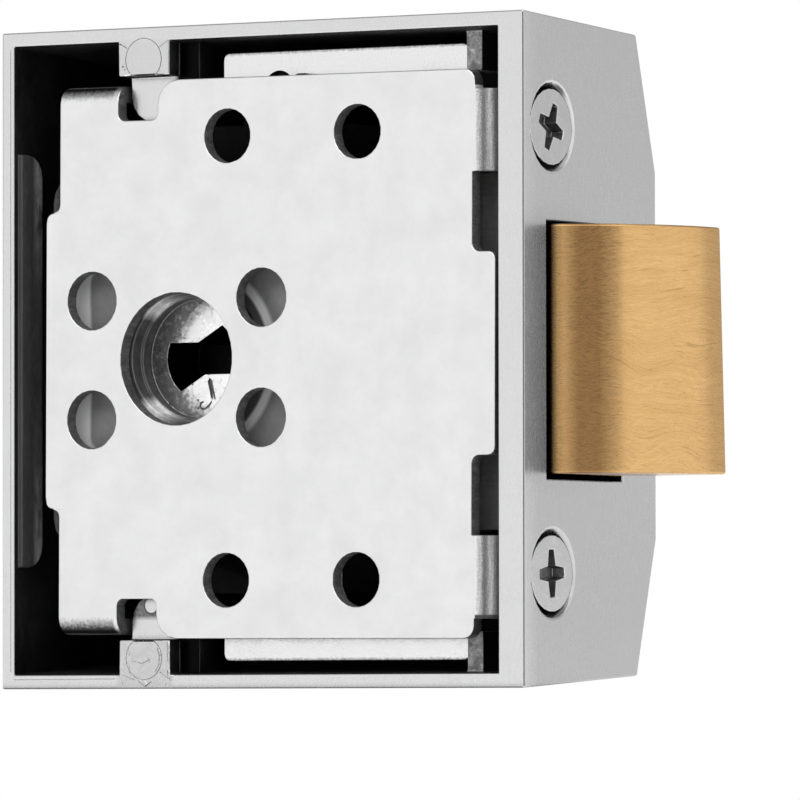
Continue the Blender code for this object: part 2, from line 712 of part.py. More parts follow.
def make_case():
    """Cast case: a drafted shell with a three-facet front, the forend and the bolt slot."""
    back = from_forend(CASE_WIDTH)
    case = drafted_block("case", case_section(0, 0, 0), back, FOREND_X, SATIN_CHROME)
    cavity = drafted_block(
        "case_cavity", case_section(SIDE_WALL, ROOF_WALL, -OVERRUN),
        back + BACK_WALL, from_forend(FOREND_WALL),
    )
    cut(case, cavity)
    add_case_ribs(case)
    slot_half = BOLT_HEIGHT / 2 + BOLT_SLOT_GAP
    slot = box(
        "bolt_slot",
        (from_forend(FOREND_WALL + OVERRUN), BOLT_NEAR_Y - BOLT_SLOT_GAP, -slot_half),
        (FOREND_X + OVERRUN, BOLT_FAR_Y + BOLT_SLOT_GAP, slot_half),
    )
    cut(case, slot)
    for word, sign in (("upper", 1), ("lower", -1)):
        height = sign * LEG_CENTRE_Z
        cut(case, countersink(f"countersink_{word}", height), forend_hole(f"forend_hole_{word}", height))
    hub = (from_forend(BACKSET), 0)
    hole_radius = BUSH_RADIUS + RUNNING_GAP
    hole = rod(
        "knob_hole", "Y", hub, hole_radius, ROOF_Y - OVERRUN, CASE_DEPTH + OVERRUN, None, ROUND_SEGMENTS
    )
    snib_x = from_forend(SNIB_CATCH_FROM_FOREND)
    half = SNIB_STEM_WIDTH / 2 + RUNNING_GAP
    snib_slot = prism(
        "snib_slot",
        rectangle(snib_x - half, SNIB_BUTTON_Z - SNIB_TRAVEL - half, snib_x + half, SNIB_BUTTON_Z + half),
        "Y", ROOF_Y - OVERRUN, CASE_DEPTH + OVERRUN,
    )
    cut(case, hole, snib_slot)
    return case


def plate_outline():
    """Outline (x, z) of the mounting plate, without its bent legs and ears."""
    ear_flat = EAR_HALF_HEIGHT - EAR_BEND_RADIUS
    leg_low = LEG_CENTRE_Z - LEG_WIDTH / 2
    half = [
        (from_forend(PLATE_TONGUE_RIGHT), PLATE_TONGUE_HALF_HEIGHT, PLATE_STEP_CORNER),
        (from_forend(PLATE_GAP_RIGHT), PLATE_TONGUE_HALF_HEIGHT, PLATE_STEP_CORNER),
        (from_forend(PLATE_GAP_RIGHT), leg_low, 0),
        (from_forend(PLATE_RIGHT), leg_low, 0),
        (from_forend(PLATE_RIGHT), PLATE_HALF_HEIGHT, PLATE_CORNER),
        (from_forend(NOTCH_RIGHT), PLATE_HALF_HEIGHT, PLATE_EAR_CORNER),
        (from_forend(NOTCH_RIGHT), NOTCH_INNER_Z, NOTCH_CORNER),
        (from_forend(NOTCH_LEFT), NOTCH_INNER_Z, NOTCH_CORNER),
        (from_forend(NOTCH_LEFT), ear_flat, 0),
        (from_forend(PLATE_EAR_LEFT), ear_flat, 0),
        (from_forend(PLATE_EAR_LEFT), PLATE_MIDDLE_HALF_HEIGHT, PLATE_STEP_CORNER),
        (from_forend(PLATE_MIDDLE_LEFT), PLATE_MIDDLE_HALF_HEIGHT, PLATE_STEP_CORNER),
    ]
    return rounded(half + [(x, -z, radius) for x, z, radius in reversed(half)])


def bent_strip(edge, radius, depth, root, sign):
    """Section of a strip that lies flat at zero depth and bends down at an edge."""
    centre = (edge - sign * radius, radius)
    outer = arc(centre, radius, -math.pi / 2, 0, CORNER_STEPS)
    inner = arc(centre, radius - PLATE_THICKNESS, 0, -math.pi / 2, CORNER_STEPS)
    outer = [(centre[0] + sign * (u - centre[0]), v) for u, v in outer]
    inner = [(centre[0] + sign * (u - centre[0]), v) for u, v in inner]
    flat = [(root, PLATE_THICKNESS), (root, 0)]
    tip = [(edge, depth), (edge - sign * PLATE_THICKNESS, depth)]
    return outer + tip + inner + flat


def plate_holes():
    """Name, place and radius of each round hole of the mounting plate."""
    hub_x = from_forend(BACKSET)
    holes = [("cylinder_hole", (hub_x, 0), CYLINDER_HOLE_RADIUS, FINE_SEGMENTS)]
    for word, distance in (("front", FIXING_HOLE_FRONT), ("rear", FIXING_HOLE_REAR)):
        for level, sign in (("upper", 1), ("lower", -1)):
            place = (from_forend(distance), sign * FIXING_HOLE_Z)
            holes.append((f"fixing_hole_{level}_{word}", place, FIXING_HOLE_RADIUS, ROUND_SEGMENTS))
    for word, side in (("front", 1), ("rear", -1)):
        for level, sign in (("upper", 1), ("lower", -1)):
            place = (hub_x + side * SCREW_HOLE_OFFSET_X, sign * SCREW_HOLE_OFFSET_Z)
            holes.append((f"screw_hole_{level}_{word}", place, SCREW_HOLE_RADIUS, ROUND_SEGMENTS))
    return holes


def make_mounting_plate():
    """Steel plate that is screwed to the door, with two tapped legs and two hooked ears."""
    plate = prism("mounting_plate", plate_outline(), "Y", 0, PLATE_THICKNESS, ZINC_STEEL)
    leg_edge = from_forend(LEG_OUTER)
    leg_root = from_forend(LEG_OUTER + LEG_BEND_RADIUS + LEG_DEPTH)
    leg = bent_strip(leg_edge, LEG_BEND_RADIUS, LEG_DEPTH, leg_root, 1)
    ear_left = from_forend(PLATE_EAR_LEFT)
    for word, sign in (("upper", 1), ("lower", -1)):
        low = sign * LEG_CENTRE_Z - LEG_WIDTH / 2
        join(plate, prism(f"leg_{word}", leg, "Z", low, low + LEG_WIDTH))
        ear = bent_strip(
            sign * EAR_HALF_HEIGHT, EAR_BEND_RADIUS, EAR_DEPTH, sign * (NOTCH_INNER_Z - EAR_DEPTH), sign
        )
        ear = [(y, z) for z, y in ear]
        join(plate, prism(f"ear_{word}", ear, "X", ear_left, from_forend(NOTCH_LEFT)))
        screw_hole = rod(
            f"leg_hole_{word}", "X", (FOREND_SCREW_Y, sign * LEG_CENTRE_Z),
            FOREND_SHANK_RADIUS + RUNNING_GAP, leg_edge - PLATE_THICKNESS - OVERRUN, leg_edge + OVERRUN,
        )
        cut(plate, screw_hole)
    for name, place, radius, segments in plate_holes():
        end = PLATE_THICKNESS + OVERRUN
        cut(plate, rod(name, "Y", place, radius, -OVERRUN, end, None, segments))
    return plate


def cross_outline(turn):
    """Outline (y, z) of a cross recess, turned by an angle."""
    half = CROSS_WIDTH / 2
    arm = CROSS_LENGTH / 2
    core = CROSS_CORE_RADIUS / math.sqrt(2)
    points = []
    for quarter in range(4):
        angle = turn + quarter * math.pi / 2
        for along, across in ((arm, -half), (arm, half), (core, core)):
            y = along * math.cos(angle) - across * math.sin(angle)
            z = along * math.sin(angle) + across * math.cos(angle)
            points.append((y, z))
    return points


def make_forend_screw(name, height, turn):
    """Countersunk cross-head screw that pulls the case onto a leg of the mounting plate."""
    top = FOREND_X - FOREND_HEAD_EDGE
    edge = top - FOREND_HEAD_EDGE
    profile = [
        (FOREND_HEAD_RADIUS, top),
        (FOREND_HEAD_RADIUS, edge),
        (FOREND_SHANK_RADIUS, top - FOREND_HEAD_HEIGHT),
        (FOREND_SHANK_RADIUS, FOREND_X - FOREND_SCREW_LENGTH),
    ]
    place = (FOREND_SCREW_Y, height)
    screw = turned(name, profile, "X", place, ROUND_SEGMENTS, BRIGHT_STEEL)
    outline = [(FOREND_SCREW_Y + y, height + z) for y, z in cross_outline(turn)]
    cut(screw, prism(f"{name}_cross", outline, "X", top - CROSS_DEPTH, top + OVERRUN))
    return screw


def make_cover_plate():
    """Steel cover that closes the mechanism and carries the follower in a dished hole."""
    left = from_forend(COVER_LEFT)
    wing_left = from_forend(COVER_WING_LEFT)
    right = from_forend(COVER_RIGHT)
    half = [
        (right, COVER_WING_HALF_HEIGHT, COVER_WING_CORNER),
        (wing_left, COVER_WING_HALF_HEIGHT, COVER_WING_CORNER),
        (wing_left, COVER_HALF_HEIGHT, COVER_WING_CORNER),
        (left, COVER_HALF_HEIGHT, COVER_CORNER),
    ]
    outline = rounded(half + [(x, -z, radius) for x, z, radius in reversed(half)])
    back_y = COVER_FRONT_Y + COVER_THICKNESS
    cover = prism("cover_plate", outline, "Y", COVER_FRONT_Y, back_y, BRIGHT_STEEL)
    hub = (from_forend(BACKSET), 0)
    dish_wide = DISH_OUTER_RADIUS + (DISH_OUTER_RADIUS - DISH_INNER_RADIUS) * OVERRUN / DISH_DEPTH
    dish = turned(
        "cover_dish",
        [
            (dish_wide, COVER_FRONT_Y - OVERRUN),
            (DISH_INNER_RADIUS, COVER_FRONT_Y + DISH_DEPTH),
        ],
        "Y", hub, FINE_SEGMENTS,
    )
    start = COVER_FRONT_Y - OVERRUN
    end = back_y + OVERRUN
    cut(cover, dish, rod("cover_hub_hole", "Y", hub, COVER_HUB_RADIUS, start, end, None, FINE_SEGMENTS))
    for name, place, _, _ in plate_holes():
        if name.startswith("fixing_hole"):
            cut(cover, rod(f"{name}_clearance", "Y", place, HEAD_CLEARANCE_RADIUS, start, end))
    for word, distance, height in cover_post_places():
        place = (from_forend(distance), height)
        radius = COVER_SCREW_SHANK_RADIUS + RUNNING_GAP
        cut(cover, rod(f"cover_hole_{word}", "Y", place, radius, start, end))
    for word, sign in (("upper", 1), ("lower", -1)):
        place = (from_forend(LOCATING_HOLE_FROM_FOREND), sign * LOCATING_HOLE_Z)
        cut(cover, rod(f"locating_hole_{word}", "Y", place, LOCATING_HOLE_RADIUS, start, end))
    return cover


def make_cover_screw(word, distance, height):
    """Small slotted screw that holds the cover plate to its cast post."""
    seat_y = COVER_FRONT_Y - SEAT_GAP
    top_y = seat_y - COVER_SCREW_HEAD_HEIGHT
    profile = [
        (COVER_SCREW_HEAD_RADIUS, top_y),
        (COVER_SCREW_HEAD_RADIUS, seat_y),
        (COVER_SCREW_SHANK_RADIUS, seat_y),
        (COVER_SCREW_SHANK_RADIUS, seat_y + COVER_SCREW_LENGTH),
    ]
    place = (from_forend(distance), height)
    screw = turned(f"cover_screw_{word}", profile, "Y", place, SMALL_SEGMENTS, BRIGHT_STEEL)
    half = COVER_SCREW_SLOT_WIDTH / 2
    reach = COVER_SCREW_HEAD_RADIUS + OVERRUN
    slot = box(
        f"cover_screw_slot_{word}",
        (place[0] - reach, top_y - OVERRUN, height - half),
        (place[0] + reach, top_y + COVER_SCREW_SLOT_DEPTH, height + half),
    )
    cut(screw, slot)
    return screw


def bolt_outline():
    """Plan (x, y) of the latch bolt: flat to the room, with a round striking face to the door."""
    nose = []
    for i in range(BOLT_NOSE_STEPS + 1):
        angle = math.pi / 2 * i / BOLT_NOSE_STEPS
        x = FOREND_X + BOLT_THROW * math.sin(angle)
        y = BOLT_FAR_Y - (BOLT_FAR_Y - BOLT_NEAR_Y) * math.cos(angle)
        nose.append((x, y))
    shoulder_x = from_forend(BOLT_SHOULDER)
    inner_y = CARRIAGE_NEAR_Y + CARRIAGE_THICKNESS + SEAT_GAP
    back_x = from_forend(BOLT_BACK)
    tail = [(back_x, BOLT_FAR_Y), (back_x, inner_y), (shoulder_x, inner_y), (shoulder_x, BOLT_NEAR_Y)]
    return nose + tail


def make_bolt_head():
    """Brass latch bolt with pockets for its springs and blind holes for its rivets."""
    half = BOLT_HEIGHT / 2
    bolt = prism("bolt_head", bolt_outline(), "Z", -half, half, BRUSHED_BRASS)
    back_x = from_forend(BOLT_BACK)
    inner_y = CARRIAGE_NEAR_Y + CARRIAGE_THICKNESS + SEAT_GAP
    for word, sign in (("upper", 1), ("lower", -1)):
        pocket = rod(
            f"spring_pocket_{word}", "X", (SPRING_Y, sign * SPRING_Z), SPRING_POCKET_RADIUS,
            back_x - OVERRUN, back_x + SPRING_POCKET_DEPTH,
        )
        rivet_place = (from_forend(BOLT_RIVET_FROM_FOREND), sign * BOLT_RIVET_Z)
        depth = CARRIAGE_NEAR_Y + BOLT_RIVET_LENGTH + SEAT_GAP * 2
        hole = rod(
            f"bolt_rivet_hole_{word}", "Y", rivet_place, BOLT_RIVET_RADIUS + RUNNING_GAP,
            inner_y - OVERRUN, depth,
        )
        cut(bolt, pocket, hole)
    return bolt


def drive_tab_front():
    """Distance behind the forend of the tab face that the cam's head pushes."""
    head = CAM_REACH * math.sin(CAM_LEAN) - CAM_HEAD_RADIUS
    return BACKSET - head + RUNNING_GAP


def carriage_outline():
    """Outline (x, z) of the carriage's web, cut away round the follower, with its upper drive arm."""
    front = from_forend(CARRIAGE_FRONT)
    web_end = from_forend(CARRIAGE_WEB_END)
    flange_end = from_forend(CARRIAGE_FLANGE_END)
    tab_end = from_forend(drive_tab_front() + CARRIAGE_THICKNESS)
    high = CARRIAGE_HALF_HEIGHT
    low = CARRIAGE_WEB_HALF_HEIGHT
    return [
        (front, -high),
        (front, high),
        (tab_end, high),
        (tab_end, CARRIAGE_ARM_INNER_Z),
        (flange_end, CARRIAGE_ARM_INNER_Z),
        (flange_end, low),
        (web_end, low),
        (web_end, -low),
        (flange_end, -low),
        (flange_end, -high),
    ]


def make_bolt_carriage():
    """Folded steel channel behind the bolt, with the drive tab and the snib's two notches."""
    web_y = CARRIAGE_NEAR_Y + CARRIAGE_THICKNESS
    web = prism("bolt_carriage", carriage_outline(), "Y", CARRIAGE_NEAR_Y, web_y, DARK_STEEL)
    front = from_forend(CARRIAGE_FRONT)
    flange_end = from_forend(CARRIAGE_FLANGE_END)
    tab_front = from_forend(drive_tab_front())
    inner_z = CARRIAGE_HALF_HEIGHT - CARRIAGE_THICKNESS
    for word, low, high in (
        ("upper", inner_z, CARRIAGE_HALF_HEIGHT),
        ("lower", -CARRIAGE_HALF_HEIGHT, -inner_z),
    ):
        flange = box(
            f"carriage_flange_{word}",
            (flange_end, CARRIAGE_NEAR_Y, low),
            (front, CARRIAGE_FLANGE_FAR_Y, high),
        )
        join(web, flange)
    tab = box(
        "drive_tab",
        (tab_front - CARRIAGE_THICKNESS, CARRIAGE_NEAR_Y, DRIVE_TAB_INNER_Z),
        (tab_front, CAM_FAR_Y, CARRIAGE_HALF_HEIGHT),
    )
    join(web, tab)
    notch_half = SNIB_CATCH_WIDTH / 2 + RUNNING_GAP
    for word, shift in (("out", 0), ("in", BOLT_THROW)):
        x = from_forend(SNIB_CATCH_FROM_FOREND) + shift
        notch = box(
            f"snib_notch_{word}",
            (x - notch_half, CARRIAGE_FLANGE_FAR_Y - DETENT_NOTCH_DEPTH, inner_z - OVERRUN),
            (x + notch_half, CARRIAGE_FLANGE_FAR_Y + OVERRUN, CARRIAGE_HALF_HEIGHT + OVERRUN),
        )
        cut(web, notch)
    for word, sign in (("upper", 1), ("lower", -1)):
        place = (from_forend(BOLT_RIVET_FROM_FOREND), sign * BOLT_RIVET_Z)
        head_radius = BOLT_RIVET_HEAD_RADIUS + RUNNING_GAP
        head_end = CARRIAGE_NEAR_Y + BOLT_RIVET_HEAD_HEIGHT + SEAT_GAP
        start = CARRIAGE_NEAR_Y - OVERRUN
        hole_radius = BOLT_RIVET_RADIUS + RUNNING_GAP
        cut(web, rod(f"carriage_sink_{word}", "Y", place, head_radius, start, head_end))
        cut(web, rod(f"carriage_hole_{word}", "Y", place, hole_radius, start, web_y + OVERRUN))
    return web


def make_bolt_rivet(word, sign):
    """Sunk rivet that ties the carriage to the bolt."""
    start = CARRIAGE_NEAR_Y
    head_end = start + BOLT_RIVET_HEAD_HEIGHT
    profile = [
        (BOLT_RIVET_HEAD_RADIUS, start),
        (BOLT_RIVET_HEAD_RADIUS, head_end),
        (BOLT_RIVET_RADIUS, head_end),
        (BOLT_RIVET_RADIUS, start + BOLT_RIVET_LENGTH),
    ]
    place = (from_forend(BOLT_RIVET_FROM_FOREND), sign * BOLT_RIVET_Z)
    return turned(f"bolt_rivet_{word}", profile, "Y", place, SMALL_SEGMENTS, BRIGHT_STEEL)


def make_bolt_spring(word, sign):
    """Coil spring between the case's back wall and a pocket of the bolt."""
    start = from_forend(SPRING_SEAT_FROM_FOREND) + SPRING_WIRE_RADIUS + RUNNING_GAP
    pocket = from_forend(BOLT_BACK) + SPRING_POCKET_DEPTH
    end = pocket - SPRING_WIRE_RADIUS - RUNNING_GAP
    count = SPRING_TURNS * SPRING_TURN_POINTS
    points = []
    for i in range(count + 1):
        angle = math.tau * i / SPRING_TURN_POINTS
        x = start + (end - start) * i / count
        y = SPRING_Y + SPRING_MEAN_RADIUS * math.cos(angle)
        points.append((x, y, sign * SPRING_Z + SPRING_MEAN_RADIUS * math.sin(angle)))
    return wire(f"bolt_spring_{word}", points, SPRING_WIRE_RADIUS, SPRING_STEEL, 0)


def make_guide_rod(word, sign):
    """Rod that keeps a bolt spring straight, held in the seat on the back wall."""
    socket = SPRING_SEAT_FROM_FOREND + GUIDE_ROD_SOCKET_DEPTH
    start = from_forend(socket) + SEAT_GAP
    place = (SPRING_Y, sign * SPRING_Z)
    end = from_forend(GUIDE_ROD_END)
    return rod(f"guide_rod_{word}", "X", place, GUIDE_ROD_RADIUS, start, end, BRIGHT_STEEL)


def bowtie_outline(centre):
    """Outline (x, z) of the bow-tie slot that gives the tail bar its lost motion."""
    points = []
    for half_turn in (0, math.pi):
        middle = BOWTIE_TILT + half_turn
        points += arc(
            centre, BOWTIE_RADIUS, middle - BOWTIE_HALF_ANGLE, middle + BOWTIE_HALF_ANGLE, BOWTIE_ARC_STEPS
        )
        waist = middle + math.pi / 2
        x = centre[0] + BOWTIE_WAIST_HALF * math.cos(waist)
        points.append((x, centre[1] + BOWTIE_WAIST_HALF * math.sin(waist)))
    return points


def square_outline(centre, width, turn=0):
    """Outline of a square about a centre, turned by an angle."""
    reach = width / math.sqrt(2)
    return [
        (
            centre[0] + reach * math.cos(turn + math.pi / 4 + quarter * math.pi / 2),
            centre[1] + reach * math.sin(turn + math.pi / 4 + quarter * math.pi / 2),
        )
        for quarter in range(4)
    ]


def make_follower():
    """Hub with a bowl that takes the cylinder's tail bar in a bow-tie slot."""
    hub = (from_forend(BACKSET), 0)
    flange_end = FOLLOWER_FLANGE_Y + FOLLOWER_FLANGE_THICKNESS
    profile = [
        (FOLLOWER_BOWL_STEP_RADIUS, FOLLOWER_FACE_Y),
        (FOLLOWER_BOWL_STEP_RADIUS, FOLLOWER_BOWL_STEP_Y),
        (FOLLOWER_BOWL_RADIUS, FOLLOWER_BOWL_STEP_Y),
        (FOLLOWER_BOWL_RADIUS, FOLLOWER_MOUTH_Y),
        (FOLLOWER_COLLAR_RADIUS, FOLLOWER_MOUTH_Y),
        (FOLLOWER_COLLAR_RADIUS, FOLLOWER_FLANGE_Y),
        (FOLLOWER_FLANGE_RADIUS, FOLLOWER_FLANGE_Y),
        (FOLLOWER_FLANGE_RADIUS, flange_end),
        (FOLLOWER_JOURNAL_RADIUS, flange_end),
        (FOLLOWER_JOURNAL_RADIUS, FOLLOWER_END_Y),
    ]
    follower = turned("follower", profile, "Y", hub, FINE_SEGMENTS, BRIGHT_STEEL)
    boss = prism(
        "follower_boss", square_outline(hub, FOLLOWER_BOSS_WIDTH, -CAM_LEAN), "Y",
        flange_end - FOLLOWER_FLANGE_THICKNESS / 2, CAM_FAR_Y,
    )
    slot = prism(
        "bowtie_slot", bowtie_outline(hub), "Y", FOLLOWER_FACE_Y - OVERRUN,
        FOLLOWER_FACE_Y + BOWTIE_DEPTH,
    )
    socket = prism(
        "spindle_socket", square_outline(hub, SOCKET_WIDTH), "Y",
        FOLLOWER_END_Y - SOCKET_DEPTH, FOLLOWER_END_Y + OVERRUN,
    )
    join(follower, boss)
    cut(follower, slot, socket)
    return follower


def spring_catch():
    """Place (x, z) from the hub of the cam's hole that holds the return spring's end."""
    return Vector((-math.cos(CAM_LEAN), math.sin(CAM_LEAN))) * CAM_SPRING_HOLE_FROM_HUB


def make_drive_cam():
    """Cam on the follower's square boss, with the arm that draws the carriage back."""
    hub = Vector((from_forend(BACKSET), 0))
    up = Vector((math.sin(CAM_LEAN), math.cos(CAM_LEAN)))
    head = hub + up * CAM_REACH
    heading = math.atan2(up.y, up.x)
    tuck = math.asin(CAM_ARM_HALF_WIDTH / CAM_HEAD_RADIUS)
    spread = math.asin(CAM_ARM_HALF_WIDTH / CAM_BODY_RADIUS)
    outline = arc(head, CAM_HEAD_RADIUS, heading - math.pi + tuck, heading + math.pi - tuck, ROUND_SEGMENTS // 2)
    outline += arc(hub, CAM_BODY_RADIUS, heading + spread, heading + math.tau - spread, ROUND_SEGMENTS)
    cam = prism("drive_cam", outline, "Y", CAM_NEAR_Y, CAM_FAR_Y, DARK_STEEL)
    width = FOLLOWER_BOSS_WIDTH + 2 * SEAT_GAP
    start = CAM_NEAR_Y - OVERRUN
    end = CAM_FAR_Y + OVERRUN
    hole = prism("cam_hole", square_outline(hub, width, -CAM_LEAN), "Y", start, end)
    catch = hub + spring_catch()
    cut(cam, hole, rod("cam_spring_hole", "Y", catch, CAM_SPRING_HOLE_RADIUS, start, end))
    return cam


def knob_base():
    """Depth at which the knob's neck starts, on the washer."""
    return CASE_DEPTH + WASHER_THICKNESS + 2 * SEAT_GAP


def make_knob_spindle():
    """Round spindle with a square tenon in the follower, a clip groove and the knob's end."""
    hub = (from_forend(BACKSET), 0)
    start = FOLLOWER_END_Y + SPINDLE_START_GAP
    groove_y = ROOF_Y - BUSH_FLANGE_THICKNESS - 2 * SEAT_GAP - CLIP_THICKNESS
    groove_end = groove_y + CLIP_THICKNESS
    profile = [
        (SPINDLE_RADIUS, start),
        (SPINDLE_RADIUS, groove_y - SEAT_GAP),
        (SPINDLE_RADIUS - CLIP_GROOVE_DEPTH, groove_y - SEAT_GAP),
        (SPINDLE_RADIUS - CLIP_GROOVE_DEPTH, groove_end + SEAT_GAP),
        (SPINDLE_RADIUS, groove_end + SEAT_GAP),
        (SPINDLE_RADIUS, knob_base() + KNOB_BORE_DEPTH - RUNNING_GAP),
    ]
    spindle = turned("knob_spindle", profile, "Y", hub, ROUND_SEGMENTS, BRIGHT_STEEL)
    tenon = prism(
        "spindle_tenon", square_outline(hub, SPINDLE_TENON_WIDTH), "Y",
        FOLLOWER_END_Y - SOCKET_DEPTH + SEAT_GAP, start + SPINDLE_RADIUS,
    )
    join(spindle, tenon)
    return spindle


def make_spindle_clip():
    """Open spring clip in the spindle's groove, under the bush."""
    hub = (from_forend(BACKSET), 0)
    groove_y = ROOF_Y - BUSH_FLANGE_THICKNESS - 2 * SEAT_GAP - CLIP_THICKNESS
    inner = SPINDLE_RADIUS - CLIP_GROOVE_DEPTH + SEAT_GAP
    end_y = groove_y + CLIP_THICKNESS
    profile = [(inner, groove_y), (CLIP_RADIUS, groove_y), (CLIP_RADIUS, end_y), (inner, end_y)]
    clip = turned("spindle_clip", profile, "Y", hub, ROUND_SEGMENTS, SPRING_STEEL, ring=True)
    half = CLIP_MOUTH_WIDTH / 2
    mouth = box(
        "clip_mouth",
        (hub[0] - half, groove_y - OVERRUN, -CLIP_RADIUS - OVERRUN),
        (hub[0] + half, end_y + OVERRUN, 0),
    )
    cut(clip, mouth)
    return clip


def make_knob_bush():
    """Flanged brass bush in the roof of the case, which carries the spindle."""
    hub = (from_forend(BACKSET), 0)
    roof_y = ROOF_Y - SEAT_GAP
    flange_y = roof_y - BUSH_FLANGE_THICKNESS
    inner = SPINDLE_RADIUS + RUNNING_GAP
    profile = [
        (inner, flange_y),
        (BUSH_FLANGE_RADIUS, flange_y),
        (BUSH_FLANGE_RADIUS, roof_y),
        (BUSH_RADIUS, roof_y),
        (BUSH_RADIUS, CASE_DEPTH),
        (inner, CASE_DEPTH),
    ]
    return turned("knob_bush", profile, "Y", hub, ROUND_SEGMENTS, BUSH_BRASS, ring=True)


def make_knob_washer():
    """Plastic washer that the knob turns on."""
    hub = (from_forend(BACKSET), 0)
    inner = SPINDLE_RADIUS + RUNNING_GAP
    start = CASE_DEPTH + SEAT_GAP
    end = start + WASHER_THICKNESS
    profile = [(inner, start), (WASHER_RADIUS, start), (WASHER_RADIUS, end), (inner, end)]
    return turned("knob_washer", profile, "Y", hub, ROUND_SEGMENTS, ACETAL, ring=True)


def knob_profile(base):
    """Outer profile (radius, along, fluted) of the turn knob from its base."""
    radius_shares = (1.0, 1.0, 1.12, 1.45, 1.86)
    height_shares = (0.0, 0.20, 0.36, 0.50, 0.62)
    rows = [
        (KNOB_NECK_RADIUS * r, base + KNOB_HEIGHT * h, False)
        for r, h in zip(radius_shares, height_shares)
    ]
    rim_shares = ((0.97, 0.68), (1.0, 0.74), (1.0, 0.90), (0.97, 0.97), (0.92, 1.0))
    rows += [(KNOB_RADIUS * r, base + KNOB_HEIGHT * h, True) for r, h in rim_shares]
    dish_shares = ((0.80, 0.975), (0.45, 0.93))
    rows += [(KNOB_RADIUS * r, base + KNOB_HEIGHT * h, False) for r, h in dish_shares]
    return rows


def make_turn_knob():
    """Flared round knob with a fluted rim and a dished front."""
    hub = (from_forend(BACKSET), 0)
    base = knob_base()
    rows = knob_profile(base)
    points = []
    for radius, along, fluted in rows:
        for i in range(KNOB_SEGMENTS):
            angle = math.tau * i / KNOB_SEGMENTS
            wave = (1 - math.cos(KNOB_FLUTES * angle)) / 2
            reach = radius - KNOB_FLUTE_DEPTH * wave if fluted else radius
            points.append((hub[0] + reach * math.cos(angle), along, hub[1] + reach * math.sin(angle)))
    last = (len(rows) - 1) * KNOB_SEGMENTS
    faces = [list(range(KNOB_SEGMENTS)), list(range(last, last + KNOB_SEGMENTS))]
    for row in range(len(rows) - 1):
        low = row * KNOB_SEGMENTS
        high = low + KNOB_SEGMENTS
        for i in range(KNOB_SEGMENTS):
            j = (i + 1) % KNOB_SEGMENTS
            faces.append([low + i, low + j, high + j, high + i])
    knob = object_from("turn_knob", mesh_from("turn_knob", points, faces), SATIN_CHROME)
    bore = rod(
        "knob_bore", "Y", hub, SPINDLE_RADIUS + SEAT_GAP, base - OVERRUN, base + KNOB_BORE_DEPTH,
        None, ROUND_SEGMENTS,
    )
    grub_y = base + GRUB_FROM_BASE
    grub_hole = rod(
        "grub_hole", "Z", (hub[0], grub_y), GRUB_RADIUS + SEAT_GAP, -KNOB_NECK_RADIUS - OVERRUN, 0
    )
    cut(knob, bore, grub_hole)
    return knob


def make_knob_grub_screw():
    """Grub screw in the knob's neck that bites on the spindle."""
    base = knob_base()
    place = (from_forend(BACKSET), base + GRUB_FROM_BASE)
    end = -SPINDLE_RADIUS - SEAT_GAP
    return rod("knob_grub_screw", "Z", place, GRUB_RADIUS, end - GRUB_LENGTH, end, SPRING_STEEL)


def make_hub_return_spring():
    """Torsion spring round the follower's journal, from the case's peg to a hole in the cam."""
    hub = Vector((from_forend(BACKSET), 0))
    catch = spring_catch()
    start_angle = -math.pi / 2
    bearing = math.atan2(catch.y, catch.x) - math.acos(RETURN_SPRING_RADIUS / catch.length)
    end_angle = bearing + math.tau
    drop = RETURN_SPRING_END_Y - RETURN_SPRING_START_Y
    points = [(hub.x - RETURN_SPRING_LEG_LENGTH, RETURN_SPRING_START_Y, -RETURN_SPRING_RADIUS)]
    for i in range(RETURN_SPRING_POINTS + 1):
        share = i / RETURN_SPRING_POINTS
        angle = start_angle + (end_angle - start_angle) * share
        x = hub.x + RETURN_SPRING_RADIUS * math.cos(angle)
        y = RETURN_SPRING_START_Y + drop * share
        points.append((x, y, RETURN_SPRING_RADIUS * math.sin(angle)))
    points.append((hub.x + catch.x, RETURN_SPRING_END_Y, catch.y))
    points.append((hub.x + catch.x, CAM_FAR_Y - CAM_THICKNESS / 2, catch.y))
    return wire("hub_return_spring", points, RETURN_SPRING_WIRE_RADIUS, SPRING_STEEL)


def make_snib_slide():
    """Inner slide of the snib, with the catch that enters the carriage's notches."""
    x = from_forend(SNIB_CATCH_FROM_FOREND)
    end_y = SNIB_SLIDE_NEAR_Y + SNIB_SLIDE_THICKNESS
    half = SNIB_SLIDE_WIDTH / 2
    slide = box(
        "snib_slide",
        (x - half, SNIB_SLIDE_NEAR_Y, SNIB_SLIDE_LOW_Z),
        (x + half, end_y, SNIB_CATCH_TOP_Z),
        DARK_STEEL,
    )
    catch_half = SNIB_CATCH_WIDTH / 2
    catch = box(
        "snib_catch",
        (x - catch_half, SNIB_CATCH_NEAR_Y, CARRIAGE_HALF_HEIGHT + RUNNING_GAP),
        (x + catch_half, end_y - SEAT_GAP, SNIB_CATCH_TOP_Z),
    )
    join(slide, catch)
    place = (x, SNIB_BUTTON_Z)
    start = SNIB_SLIDE_NEAR_Y - OVERRUN
    hole_radius = SNIB_RIVET_RADIUS + RUNNING_GAP
    cut(slide, rod("snib_slide_hole", "Y", place, hole_radius, start, end_y + OVERRUN))
    for word, shift in (("free", 0), ("held", SNIB_TRAVEL)):
        dimple = rod(
            f"leaf_dimple_{word}", "X", (end_y, LEAF_BUMP_Z + shift), LEAF_BUMP_RADIUS,
            x - half - OVERRUN, x + half + OVERRUN,
        )
        cut(slide, dimple)
    return slide


